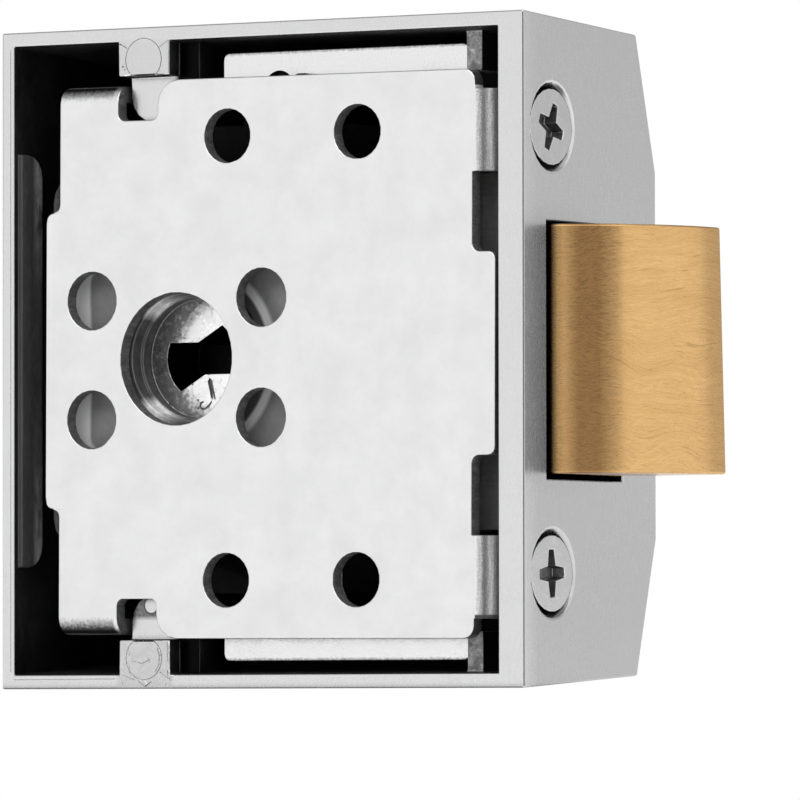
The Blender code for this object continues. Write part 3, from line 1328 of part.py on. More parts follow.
def make_snib_button():
    """Ribbed button on the room side, with a stem through the roof."""
    x = from_forend(SNIB_CATCH_FROM_FOREND)
    base = CASE_DEPTH + SEAT_GAP
    half_width = SNIB_BUTTON_WIDTH / 2
    half_length = SNIB_BUTTON_LENGTH / 2
    outline = rectangle(
        x - half_width, SNIB_BUTTON_Z - half_length, x + half_width, SNIB_BUTTON_Z + half_length,
        SNIB_BUTTON_CORNER,
    )
    top = base + SNIB_BUTTON_HEIGHT
    button = prism("snib_button", outline, "Y", base, top, SATIN_CHROME)
    stem_half = SNIB_STEM_WIDTH / 2
    stem_start = SNIB_SLIDE_NEAR_Y + SNIB_SLIDE_THICKNESS + SEAT_GAP
    stem = box(
        "snib_stem",
        (x - stem_half, stem_start, SNIB_BUTTON_Z - stem_half),
        (x + stem_half, base + SNIB_BUTTON_HEIGHT / 2, SNIB_BUTTON_Z + stem_half),
    )
    join(button, stem)
    for i in range(SNIB_GROOVES):
        z = SNIB_BUTTON_Z + (i - (SNIB_GROOVES - 1) / 2) * SNIB_GROOVE_PITCH
        groove_half = SNIB_GROOVE_WIDTH / 2
        groove = box(
            f"snib_groove_{i + 1}",
            (x - half_width - OVERRUN, top - SNIB_GROOVE_DEPTH, z - groove_half),
            (x + half_width + OVERRUN, top + OVERRUN, z + groove_half),
        )
        cut(button, groove)
    hole_end = SNIB_SLIDE_NEAR_Y + SNIB_RIVET_LENGTH + SEAT_GAP
    hole_radius = SNIB_RIVET_RADIUS + RUNNING_GAP
    place = (x, SNIB_BUTTON_Z)
    cut(button, rod("snib_stem_hole", "Y", place, hole_radius, stem_start - OVERRUN, hole_end))
    return button


def make_snib_rivet():
    """Rivet that ties the slide to the button's stem."""
    seat = SNIB_SLIDE_NEAR_Y - SEAT_GAP
    start = seat - SNIB_RIVET_HEAD_HEIGHT
    profile = [
        (SNIB_RIVET_HEAD_RADIUS, start),
        (SNIB_RIVET_HEAD_RADIUS, seat),
        (SNIB_RIVET_RADIUS, seat),
        (SNIB_RIVET_RADIUS, seat + SNIB_RIVET_LENGTH),
    ]
    place = (from_forend(SNIB_CATCH_FROM_FOREND), SNIB_BUTTON_Z)
    return turned("snib_rivet", profile, "Y", place, SMALL_SEGMENTS, BRIGHT_STEEL)


def make_snib_leaf_spring():
    """Leaf spring under the roof whose bump drops into the slide's two dimples."""
    x = from_forend(SNIB_CATCH_FROM_FOREND)
    near = SNIB_SLIDE_NEAR_Y + SNIB_SLIDE_THICKNESS + LEAF_LIFT
    half = LEAF_WIDTH / 2
    leaf = box(
        "snib_leaf_spring", (x - half, near, LEAF_LOW_Z), (x + half, near + LEAF_THICKNESS, LEAF_HIGH_Z),
        SPRING_STEEL,
    )
    bump_radius = LEAF_BUMP_RADIUS - SEAT_GAP
    centre_y = near - LEAF_LIFT + SEAT_GAP
    bump = rod("leaf_bump", "X", (centre_y, LEAF_BUMP_Z), bump_radius, x - half + SEAT_GAP, x + half - SEAT_GAP)
    join(leaf, bump)
    place = (x, LEAF_RIVET_Z)
    radius = LEAF_RIVET_RADIUS + RUNNING_GAP
    cut(leaf, rod("leaf_hole", "Y", place, radius, near - OVERRUN, near + LEAF_THICKNESS + OVERRUN))
    return leaf


def make_leaf_rivet():
    """Rivet that holds the leaf spring to its boss."""
    near = SNIB_SLIDE_NEAR_Y + SNIB_SLIDE_THICKNESS + LEAF_LIFT
    seat = near - SEAT_GAP
    start = seat - LEAF_RIVET_HEAD_HEIGHT
    end = near + LEAF_THICKNESS + LEAF_RIVET_LENGTH
    profile = [
        (LEAF_RIVET_HEAD_RADIUS, start),
        (LEAF_RIVET_HEAD_RADIUS, seat),
        (LEAF_RIVET_RADIUS, seat),
        (LEAF_RIVET_RADIUS, end),
    ]
    place = (from_forend(SNIB_CATCH_FROM_FOREND), LEAF_RIVET_Z)
    return turned("leaf_rivet", profile, "Y", place, SMALL_SEGMENTS, BRIGHT_STEEL)


def make_root_pieces():
    """Make what stays still on the door."""
    make_case()
    make_mounting_plate()
    make_forend_screw("forend_screw_upper", LEG_CENTRE_Z, CROSS_TURN_UPPER)
    make_forend_screw("forend_screw_lower", -LEG_CENTRE_Z, CROSS_TURN_LOWER)
    make_cover_plate()
    for word, distance, height in cover_post_places():
        make_cover_screw(word, distance, height)
    make_knob_bush()
    make_knob_washer()
    for word, sign in (("upper", 1), ("lower", -1)):
        make_guide_rod(word, sign)
        make_bolt_spring(word, sign)
    make_hub_return_spring()
    make_snib_leaf_spring()
    make_leaf_rivet()


def make_moving_pieces():
    """Make the bolt, the hub with its knob, and the snib, each on an empty at its joint."""
    bolt_axis = axis_empty("bolt_slide_axis", Vector((FOREND_X, (BOLT_NEAR_Y + BOLT_FAR_Y) / 2, 0)))
    hub_axis = axis_empty("hub_turn_axis", Vector((from_forend(BACKSET), FOLLOWER_FACE_Y, 0)))
    snib_place = Vector((from_forend(SNIB_CATCH_FROM_FOREND), CASE_DEPTH, SNIB_BUTTON_Z))
    snib_axis = axis_empty("snib_slide_axis", snib_place)
    hang(bolt_axis, make_bolt_head(), make_bolt_carriage())
    for word, sign in (("upper", 1), ("lower", -1)):
        hang(bolt_axis, make_bolt_rivet(word, sign))
    hang(hub_axis, make_follower(), make_drive_cam(), make_knob_spindle(), make_spindle_clip())
    hang(hub_axis, make_turn_knob(), make_knob_grub_screw())
    hang(snib_axis, make_snib_slide(), make_snib_button(), make_snib_rivet())


def main():
    """Build the night latch."""
    clear_scene()
    make_root_pieces()
    make_moving_pieces()
    bpy.context.view_layer.update()


main()
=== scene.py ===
"""Looks of the rim night latch: fine meshes, metal finishes, a pale studio and the camera."""

import logging
import math
from dataclasses import dataclass
from enum import Enum
from typing import (
    Any, Callable, ClassVar, Dict, List, Mapping, Optional, Sequence, Tuple, Type, Union,
)

import bmesh
import bpy
from mathutils import Matrix, Vector


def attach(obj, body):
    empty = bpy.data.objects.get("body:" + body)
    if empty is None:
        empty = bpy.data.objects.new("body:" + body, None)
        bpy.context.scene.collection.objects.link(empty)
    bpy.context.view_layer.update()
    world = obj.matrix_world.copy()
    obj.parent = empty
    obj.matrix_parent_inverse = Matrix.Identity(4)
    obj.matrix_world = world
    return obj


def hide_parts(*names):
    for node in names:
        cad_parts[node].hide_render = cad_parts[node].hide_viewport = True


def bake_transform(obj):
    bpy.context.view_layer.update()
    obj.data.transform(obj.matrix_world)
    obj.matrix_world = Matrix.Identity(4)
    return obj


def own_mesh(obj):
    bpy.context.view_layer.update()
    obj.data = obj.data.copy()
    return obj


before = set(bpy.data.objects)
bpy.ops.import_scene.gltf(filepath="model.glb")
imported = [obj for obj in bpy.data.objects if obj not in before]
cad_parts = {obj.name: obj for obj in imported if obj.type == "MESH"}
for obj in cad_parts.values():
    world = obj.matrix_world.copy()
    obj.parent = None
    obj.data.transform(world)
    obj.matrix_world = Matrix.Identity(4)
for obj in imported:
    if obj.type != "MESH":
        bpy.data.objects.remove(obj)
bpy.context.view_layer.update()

LOG = logging.getLogger("night_latch")

Flat = Tuple[float, float]
Place = Tuple[float, float, float]
Colour = Tuple[float, float, float]
Socket = bpy.types.NodeSocket
Value = Union[float, Sequence[float], Socket]

MM = 0.001
FAR = 40.0  # beyond any piece, in millimetres
HUB_X = -0.0200
HUB_MIDDLE = (HUB_X / MM, 0.0, 0.0)  # in millimetres
FOREND_X = 0.0200
MERGE_DISTANCE = 2e-6
SEAM_DISTANCE = 1e-7
NOISE_MIDDLE = 0.5
FLAT_ANGLE = math.radians(0.6)
BEVEL_ANGLE = math.radians(30)
SMOOTH_ANGLE = math.radians(34)
NORMAL_WEIGHT = 50


class Body(Enum):
    """Bodies that redrawn pieces ride on."""

    CASE = "lock_case"
    BOLT = "latch_bolt"
    HUB = "turn_hub"


class Slot(Enum):
    """Names of the material slots."""

    CHROME = "satin_chrome"
    SHEET = "zinc_steel"
    BRIGHT = "bright_steel"
    DARK = "dark_steel"
    SPRING = "spring_steel"
    BRASS = "brushed_brass"
    BUSH = "bush_brass"
    NYLON = "acetal"


# Node trees


class Graph:
    """A node tree under construction, with short calls for what the finishes need."""

    def __init__(self, tree: bpy.types.NodeTree) -> None:
        """Starts on an empty tree.

        Args:
            tree: The material's or the group's node tree.
        """
        self.tree = tree
        tree.nodes.clear()

    def fill(self, node: bpy.types.Node, inputs: Mapping[Any, Value]) -> None:
        """Sets or links a node's sockets.

        Args:
            node: The node.
            inputs: Socket name or number, with a value or the socket that feeds it.
        """
        for key, value in inputs.items():
            socket = node.inputs[key]
            if isinstance(value, bpy.types.NodeSocket):
                self.tree.links.new(value, socket)
            else:
                socket.default_value = value

    def add(
        self, kind: str, inputs: Optional[Mapping[Any, Value]] = None, **settings: Any
    ) -> bpy.types.Node:
        """Adds a node.

        Args:
            kind: The node's type, without the ShaderNode in front.
            inputs: What goes into its sockets.
            settings: Its own settings.

        Returns:
            The new node.
        """
        node = self.tree.nodes.new("ShaderNode" + kind)
        for key, value in settings.items():
            setattr(node, key, value)
        self.fill(node, inputs or {})
        return node

    def math(self, operation: str, first: Value, second: Value = 0.0) -> Socket:
        """One step of arithmetic.

        Args:
            operation: The Math node's operation.
            first: Its first value.
            second: Its second value.

        Returns:
            The result's socket.
        """
        return self.add("Math", {0: first, 1: second}, operation=operation).outputs[0]

    def times(self, first: Value, second: Value) -> Socket:
        """The product of two values."""
        return self.math("MULTIPLY", first, second)

    def plus(self, first: Value, second: Value) -> Socket:
        """The sum of two values."""
        return self.math("ADD", first, second)

    def vector(self, operation: str, first: Value, second: Optional[Value] = None) -> Socket:
        """One step of vector arithmetic.

        Args:
            operation: The Vector Math node's operation.
            first: Its first vector.
            second: Its second vector, where it takes one.

        Returns:
            The result's socket, which gives a number for a length or a dot product.
        """
        inputs = {0: first} if second is None else {0: first, 1: second}
        outputs = self.add("VectorMath", inputs, operation=operation).outputs
        return outputs["Value"] if operation in ("DOT_PRODUCT", "LENGTH") else outputs[0]

    def spread(self, value: Value, low: Value, high: Value, out: Flat = (0.0, 1.0)) -> Socket:
        """Stretches a range of a value over another range, held at its ends.

        Args:
            value: What is stretched.
            low: Value that becomes the first end.
            high: Value that becomes the second end.
            out: The two ends.

        Returns:
            The result's socket.
        """
        span = {"From Min": low, "From Max": high, "To Min": out[0], "To Max": out[1]}
        return self.add("MapRange", {"Value": value, **span}).outputs[0]

    def near(
        self, value: Value, middle: Value, low: Value, high: Value, extra: Optional[Value] = None
    ) -> Socket:
        """Tells how near a value is to a middle one.

        Args:
            value: What is measured.
            middle: What it is measured from.
            low: Distance that becomes 0.
            high: Distance that becomes 1.
            extra: What the distance grows by, such as a grain.

        Returns:
            The result's socket.
        """
        away = self.math("ABSOLUTE", self.math("SUBTRACT", value, middle))
        return self.spread(away if extra is None else self.plus(away, extra), low, high)

    def noise(
        self, place: Value, scale: Value, detail: float = 2.0, roughness: float = 0.5,
        distortion: float = 0.0,
    ) -> Socket:
        """Adds noise.

        Args:
            place: Where it is taken.
            scale: Its fineness.
            detail: How many finer layers it has.
            roughness: How strong each finer layer is.
            distortion: How far it is pulled about.

        Returns:
            The noise's socket.
        """
        inputs = {"Vector": place, "Scale": scale, "Detail": detail, "Roughness": roughness}
        return self.add("TexNoise", {**inputs, "Distortion": distortion}).outputs[0]

    def waver(self, place: Socket, reach: Value, scale: float, detail: float) -> Socket:
        """Lets a place drift, so that straight marks waver.

        Args:
            place: The place.
            reach: How far it drifts.
            scale: Fineness of the drift.
            detail: How many finer layers the drift has.

        Returns:
            The drifting place's socket.
        """
        noise = self.add("TexNoise", {"Vector": place, "Scale": scale, "Detail": detail})
        drift = self.vector("SUBTRACT", noise.outputs["Color"], (NOISE_MIDDLE,) * 3)
        return self.vector("ADD", place, self.scaled(drift, reach))

    def blend(self, factor: Value, first: Value, second: Value, share: float = 1.0) -> Socket:
        """Blends two colours.

        Args:
            factor: Where the second colour goes.
            first: Colour at 0.
            second: Colour at 1.
            share: How much of the second colour goes there.

        Returns:
            The blended colour's socket.
        """
        mask = factor if share == 1.0 else self.times(factor, share)
        node = self.add("Mix", {0: mask}, data_type="RGBA")
        colours = [s for s in node.inputs if s.type == "RGBA"]
        for socket, value in zip(colours, (first, second)):
            if isinstance(value, bpy.types.NodeSocket):
                self.tree.links.new(value, socket)
            else:
                socket.default_value = (*value, 1.0)
        return next(s for s in node.outputs if s.type == "RGBA")

    def millimetres(self) -> Socket:
        """The piece's own coordinates, in millimetres."""
        return self.scaled(self.add("TexCoord").outputs["Object"], 1 / MM)

    def axes(self) -> Sequence[Socket]:
        """The piece's own coordinates in millimetres, as three sockets."""
        return self.add("SeparateXYZ", {0: self.millimetres()}).outputs

    def scaled(self, vector: Socket, factor: Value) -> Socket:
        """A vector times a number."""
        return self.add("VectorMath", {0: vector, "Scale": factor}, operation="SCALE").outputs[0]


class Effect:
    """A shader node group, built once and placed in each material with its own values."""

    name: ClassVar[str] = ""
    takes: ClassVar[Tuple[Tuple[str, str, Any], ...]] = ()
    gives: ClassVar[Tuple[str, ...]] = ("Mask",)

    @classmethod
    def tree(cls) -> bpy.types.NodeTree:
        """Makes the group's node tree at its first use.

        Returns:
            The tree.
        """
        found = bpy.data.node_groups.get(cls.name)
        if found:
            return found
        tree = bpy.data.node_groups.new(cls.name, "ShaderNodeTree")
        graph = Graph(tree)
        for title, kind, value in cls.takes:
            kind = "NodeSocket" + kind
            socket = tree.interface.new_socket(title, in_out="INPUT", socket_type=kind)
            socket.default_value = value
        for title in cls.gives:
            tree.interface.new_socket(title, in_out="OUTPUT", socket_type="NodeSocketFloat")
        source = tree.nodes.new("NodeGroupInput")
        sink = tree.nodes.new("NodeGroupOutput")
        graph.fill(sink, cls.lay(graph, source.outputs))
        return tree

    @classmethod
    def lay(cls, graph: Graph, given: Any) -> Dict[str, Socket]:
        """Lays the group's nodes.

        Args:
            graph: The group's tree.
            given: The sockets of its inputs, by name.

        Returns:
            The socket that feeds each output.
        """
        raise NotImplementedError

    @classmethod
    def place(cls, graph: Graph, values: Mapping[str, Value]) -> bpy.types.Node:
        """Places the group in a material.

        Args:
            graph: The material's tree.
            values: The values of its inputs.

        Returns:
            The group node.
        """
        node = graph.tree.nodes.new("ShaderNodeGroup")
        node.node_tree = cls.tree()
        graph.fill(node, values)
        return node


class ToolMarks(Effect):
    """Clouds, lines or specks in the metal: noise stretched along the way the tool went."""

    name = "tool_marks"
    takes = (
        ("Stretch", "Vector", (1.0, 1.0, 1.0)),
        ("Fineness", "Float", 1.0),
        ("Waver", "Float", 0.0),
        ("Low", "Float", 0.4),
        ("High", "Float", 0.6),
    )

    @classmethod
    def lay(cls, graph: Graph, given: Any) -> Dict[str, Socket]:
        """Lays the group's nodes.

        Args:
            graph: The group's tree.
            given: The sockets of its inputs, by name.

        Returns:
            The socket that feeds each output.
        """
        place = graph.waver(graph.millimetres(), given["Waver"], scale=0.13, detail=2.0)
        place = graph.vector("MULTIPLY", place, given["Stretch"])
        grain = graph.noise(place, given["Fineness"], detail=4.0, roughness=0.62)
        return {"Mask": graph.spread(grain, given["Low"], given["High"])}


class TurningMarks(Effect):
    """Fine rings that a lathe leaves round an axis."""

    name = "turning_marks"
    takes = (
        ("Centre", "Vector", (0.0, 0.0, 0.0)),
        ("Axis", "Vector", (0.0, 1.0, 0.0)),
        ("Fineness", "Float", 4.0),
        ("Low", "Float", 0.35),
        ("High", "Float", 0.65),
    )
    turn_share: ClassVar[float] = 0.25

    @classmethod
    def lay(cls, graph: Graph, given: Any) -> Dict[str, Socket]:
        """Lays the group's nodes.

        Args:
            graph: The group's tree.
            given: The sockets of its inputs, by name.

        Returns:
            The socket that feeds each output.
        """
        out = graph.vector("SUBTRACT", graph.millimetres(), given["Centre"])
        along = graph.scaled(given["Axis"], graph.vector("DOT_PRODUCT", out, given["Axis"]))
        flat = graph.vector("SUBTRACT", out, along)
        reach = graph.times(graph.vector("LENGTH", flat), given["Fineness"])
        turn = graph.scaled(graph.vector("NORMALIZE", flat), cls.turn_share)
        lines = graph.vector("ADD", graph.add("CombineXYZ", {"X": reach}).outputs[0], turn)
        grain = graph.noise(graph.vector("ADD", lines, along), 1.0, detail=3.0, roughness=0.6)
        return {"Mask": graph.spread(grain, given["Low"], given["High"])}


class EdgeMarks(Effect):
    """Where edges turn, and where hollows lie, for dirt and painted shade."""

    name = "edge_marks"
    takes = (("Width", "Float", 0.0002), ("Hollow", "Float", 0.001))
    gives = ("Edge", "Hollow")
    turned: ClassVar[Flat] = (0.985, 0.86)
    covered: ClassVar[Flat] = (0.80, 0.30)

    @classmethod
    def lay(cls, graph: Graph, given: Any) -> Dict[str, Socket]:
        """Lays the group's nodes.

        Args:
            graph: The group's tree.
            given: The sockets of its inputs, by name.

        Returns:
            The socket that feeds each output.
        """
        rounded = graph.add("Bevel", {"Radius": given["Width"]}, samples=4).outputs[0]
        normal = graph.add("NewGeometry").outputs["True Normal"]
        edge = graph.spread(graph.vector("DOT_PRODUCT", rounded, normal), *cls.turned)
        cover = graph.add("AmbientOcclusion", {"Distance": given["Hollow"]}, samples=6)
        return {"Edge": edge, "Hollow": graph.spread(cover.outputs["AO"], *cls.covered)}


class Pits(Effect):
    """Small pits that casting leaves, sparse and of uneven size."""

    name = "cast_pits"
    takes = (("Spacing", "Float", 1.0), ("Size", "Float", 0.12), ("Patches", "Float", 0.5))
    unevenness: ClassVar[float] = 2.0
    floor_share: ClassVar[float] = 0.6
    patch_fineness: ClassVar[float] = 0.35

    @classmethod
    def lay(cls, graph: Graph, given: Any) -> Dict[str, Socket]:
        """Lays the group's nodes.

        Args:
            graph: The group's tree.
            given: The sockets of its inputs, by name.

        Returns:
            The socket that feeds each output.
        """
        place = graph.millimetres()
        scale = graph.math("DIVIDE", 1.0, given["Spacing"])
        cells = graph.add("TexVoronoi", {"Vector": place, "Scale": scale}).outputs
        size = graph.math("POWER", cells["Color"], cls.unevenness)
        size = graph.times(given["Size"], size)
        pit = graph.spread(cells["Distance"], size, graph.times(size, cls.floor_share))
        patches = graph.noise(place, cls.patch_fineness, detail=1.0)
        return {"Mask": graph.times(pit, graph.math("GREATER_THAN", patches, given["Patches"]))}


class Strokes(Effect):
    """Thin wavy strokes along the way of brushing, as lines where stretched noise turns over."""

    name = "brush_strokes"
    takes = (
        ("Stretch", "Vector", (0.05, 0.05, 1.0)),
        ("Fineness", "Float", 2.0),
        ("Waver", "Float", 2.0),
        ("Width", "Float", 0.02),
    )
    gap_fineness: ClassVar[float] = 2.7
    gap: ClassVar[Flat] = (0.42, 0.56)

    @classmethod
    def lay(cls, graph: Graph, given: Any) -> Dict[str, Socket]:
        """Lays the group's nodes.

        Args:
            graph: The group's tree.
            given: The sockets of its inputs, by name.

        Returns:
            The socket that feeds each output.
        """
        place = graph.waver(graph.millimetres(), given["Waver"], scale=0.11, detail=1.0)
        place = graph.vector("MULTIPLY", place, given["Stretch"])
        field = graph.noise(place, given["Fineness"], detail=1.5)
        line = graph.near(field, NOISE_MIDDLE, given["Width"], 0.0)
        broken = graph.noise(place, graph.times(given["Fineness"], cls.gap_fineness))
        return {"Mask": graph.times(line, graph.spread(broken, *cls.gap))}


class BoxZone(Effect):
    """Softly bounded box, for work that covers only part of a piece."""

    name = "box_zone"
    takes = (
        ("Middle", "Vector", (0.0, 0.0, 0.0)),
        ("Half", "Vector", (1.0, 1.0, 1.0)),
        ("Soft", "Float", 0.2),
    )

    @classmethod
    def lay(cls, graph: Graph, given: Any) -> Dict[str, Socket]:
        """Lays the group's nodes.

        Args:
            graph: The group's tree.
            given: The sockets of its inputs, by name.

        Returns:
            The socket that feeds each output.
        """
        out = graph.vector("SUBTRACT", graph.millimetres(), given["Middle"])
        past = graph.vector("SUBTRACT", graph.vector("ABSOLUTE", out), given["Half"])
        past = graph.add("SeparateXYZ", {0: past}).outputs
        most = graph.math("MAXIMUM", graph.math("MAXIMUM", past[0], past[1]), past[2])
        return {"Mask": graph.spread(most, given["Soft"], 0.0)}


class RoundZone(Effect):
    """Softly bounded ring round an axis along Y."""

    name = "round_zone"
    takes = (
        ("Centre", "Vector", (0.0, 0.0, 0.0)),
        ("Inner", "Float", 0.0),
        ("Outer", "Float", 1.0),
        ("Soft", "Float", 0.2),
    )

    @classmethod
    def lay(cls, graph: Graph, given: Any) -> Dict[str, Socket]:
        """Lays the group's nodes.

        Args:
            graph: The group's tree.
            given: The sockets of its inputs, by name.

        Returns:
            The socket that feeds each output.
        """
        out = graph.vector("SUBTRACT", graph.millimetres(), given["Centre"])
        reach = graph.vector("LENGTH", graph.vector("MULTIPLY", out, (1.0, 0.0, 1.0)))
        outside = graph.math("SUBTRACT", reach, given["Outer"])
        past = graph.math("MAXIMUM", outside, graph.math("SUBTRACT", given["Inner"], reach))
        return {"Mask": graph.spread(past, given["Soft"], 0.0)}


# Finishes


def grey(level: float) -> Colour:
    """A neutral colour of one level."""
    return (level, level, level * 1.004)


@dataclass(frozen=True)
class Laid:
    """An effect with its values: the fields are named as the inputs of the effect's group."""

    effect: ClassVar[Type[Effect]] = Effect

    def mask(self, graph: Graph) -> Socket:
        """Lays the effect in a material.

        Args:
            graph: The material's tree.

        Returns:
            The effect's mask.
        """
        values = {title: getattr(self, title.lower()) for title, _, _ in self.effect.takes}
        return self.effect.place(graph, values).outputs["Mask"]


@dataclass(frozen=True)
class Marks(Laid):
    """One set of tool marks: stretch along each axis, fineness per millimetre and contrast."""

    effect = ToolMarks
    stretch: Place = (1.0, 1.0, 1.0)
    fineness: float = 0.3
    waver: float = 0.0
    low: float = 0.35
    high: float = 0.65


@dataclass(frozen=True)
class Rings(Laid):
    """Turning rings round an axis, in millimetres."""

    effect = TurningMarks
    centre: Place = HUB_MIDDLE
    axis: Place = (0.0, 1.0, 0.0)
    fineness: float = 5.0
    low: float = 0.3
    high: float = 0.7


@dataclass(frozen=True)
class Pitting(Laid):
    """Cast pits: their spacing and size in millimetres, and how much of the face has none."""

    effect = Pits
    spacing: float
    size: float
    patches: float = 0.5


@dataclass(frozen=True)
class Annulus(Laid):
    """A softly bounded ring round an axis along Y, in millimetres."""

    effect = RoundZone
    centre: Place
    inner: float
    outer: float
    soft: float


@dataclass(frozen=True)
class Brushing(Laid):
    """One set of strokes, with their share of colour."""

    effect = Strokes
    stretch: Place
    fineness: float
    waver: float
    width: float
    share: float


@dataclass(frozen=True)
class Patch(Laid):
    """A softly bounded box of another shade on a piece, in millimetres."""

    effect = BoxZone
    middle: Place
    half: Place
    shade: float = 0.0
    share: float = 1.0
    soft: float = 0.5

    def over(self, graph: Graph, base: Socket) -> Socket:
        """The base colour with the patch on it."""
        return graph.blend(self.mask(graph), base, grey(self.shade), self.share)


@dataclass(frozen=True)
class Finish:
    """A worked surface: its colour and gloss, and the marks on it.

    The clouds mix in the dull colour and roughness, the grain is the direction of work,
    the edges wear to the bright colour, and the hollows and pits go to the dirt-and-shade
    colour, which is dirt with painted shade where the hollows lie in shade.
    """

    name: str
    colour: Colour
    dull: Colour
    bright: Colour
    dirt_and_shade: Colour
    roughness: float = 0.35
    dull_roughness: float = 0.45
    metallic: float = 1.0
    clouds: Marks = Marks()
    grain: Union[Marks, Rings] = Marks(fineness=3.0)
    grain_colour: float = 0.15
    grain_height: float = 0.004
    skin_height: float = 0.0
    pits: float = 0.0
    pit_spacing: float = 1.0
    edge: float = 0.6
    hollow: float = 0.6
    edge_width: float = 0.00018
    hollow_reach: float = 0.0012
    cast_waves: ClassVar[Marks] = Marks(fineness=1.6, low=0.2, high=0.8)
    grain_roughness: ClassVar[float] = 0.3
    pit_depth: ClassVar[float] = 0.06
    pit_dirt_and_shade: ClassVar[float] = 0.8

    def tint(self, graph: Graph, base: Socket) -> Socket:
        """Further colour of a special finish, over the common one.

        Args:
            graph: The material's tree.
            base: The common colour.

        Returns:
            The colour with the special work on it.
        """
        return base

    def relief(self, graph: Graph, height: Socket) -> Socket:
        """Further relief of a special finish, over the common one.

        Args:
            graph: The material's tree.
            height: The common height, in millimetres.

        Returns:
            The height with the special work on it.
        """
        return height

    def sheen(self, graph: Graph, rough: Socket) -> Tuple[Value, Value]:
        """Roughness and metal of the finish, where a special finish changes them.

        Args:
            graph: The material's tree.
            rough: The common roughness.

        Returns:
            The roughness and the share of metal.
        """
        return rough, self.metallic

    def material(self) -> bpy.types.Material:
        """Builds the finish's material at its first use.

        Returns:
            The material.
        """
        found = bpy.data.materials.get(self.name)
        if found:
            return found
        made = bpy.data.materials.new(self.name)
        made.use_nodes = True
        graph = Graph(made.node_tree)
        clouds, grain = self.clouds.mask(graph), self.grain.mask(graph)
        reaches = {"Width": self.edge_width, "Hollow": self.hollow_reach}
        edges = EdgeMarks.place(graph, reaches).outputs
        base = graph.blend(clouds, self.colour, self.dull)
        base = graph.blend(grain, base, self.dull, self.grain_colour)
        base = graph.blend(edges["Edge"], base, self.bright, self.edge)
        # Dirt and painted shade in the hollows, from ambient occlusion.
        base = graph.blend(edges["Hollow"], base, self.dirt_and_shade, self.hollow)
        span = self.dull_roughness - self.roughness
        rough = graph.plus(graph.times(clouds, span), self.roughness)
        rough = graph.plus(rough, graph.times(grain, self.grain_colour * self.grain_roughness))
        height = graph.times(grain, self.grain_height)
        if self.skin_height:
            skin = self.cast_waves.mask(graph)
            height = graph.plus(height, graph.times(skin, self.skin_height))
        if self.pits:
            pits = Pitting(self.pit_spacing, self.pits).mask(graph)
            height = graph.math("SUBTRACT", height, graph.times(pits, self.pit_depth))
            # Dirt and painted shade in the pits.
            base = graph.blend(pits, base, self.dirt_and_shade, self.pit_dirt_and_shade)
        base = self.tint(graph, base)
        height = self.relief(graph, height)
        rough, metal = self.sheen(graph, rough)
        bump = graph.add("Bump", {"Height": height, "Strength": 1.0, "Distance": MM}).outputs[0]
        inputs = {"Base Color": base, "Roughness": rough, "Metallic": metal, "Normal": bump}
        shader = graph.add("BsdfPrincipled", inputs)
        graph.add("OutputMaterial", {"Surface": shader.outputs[0]})
        return made


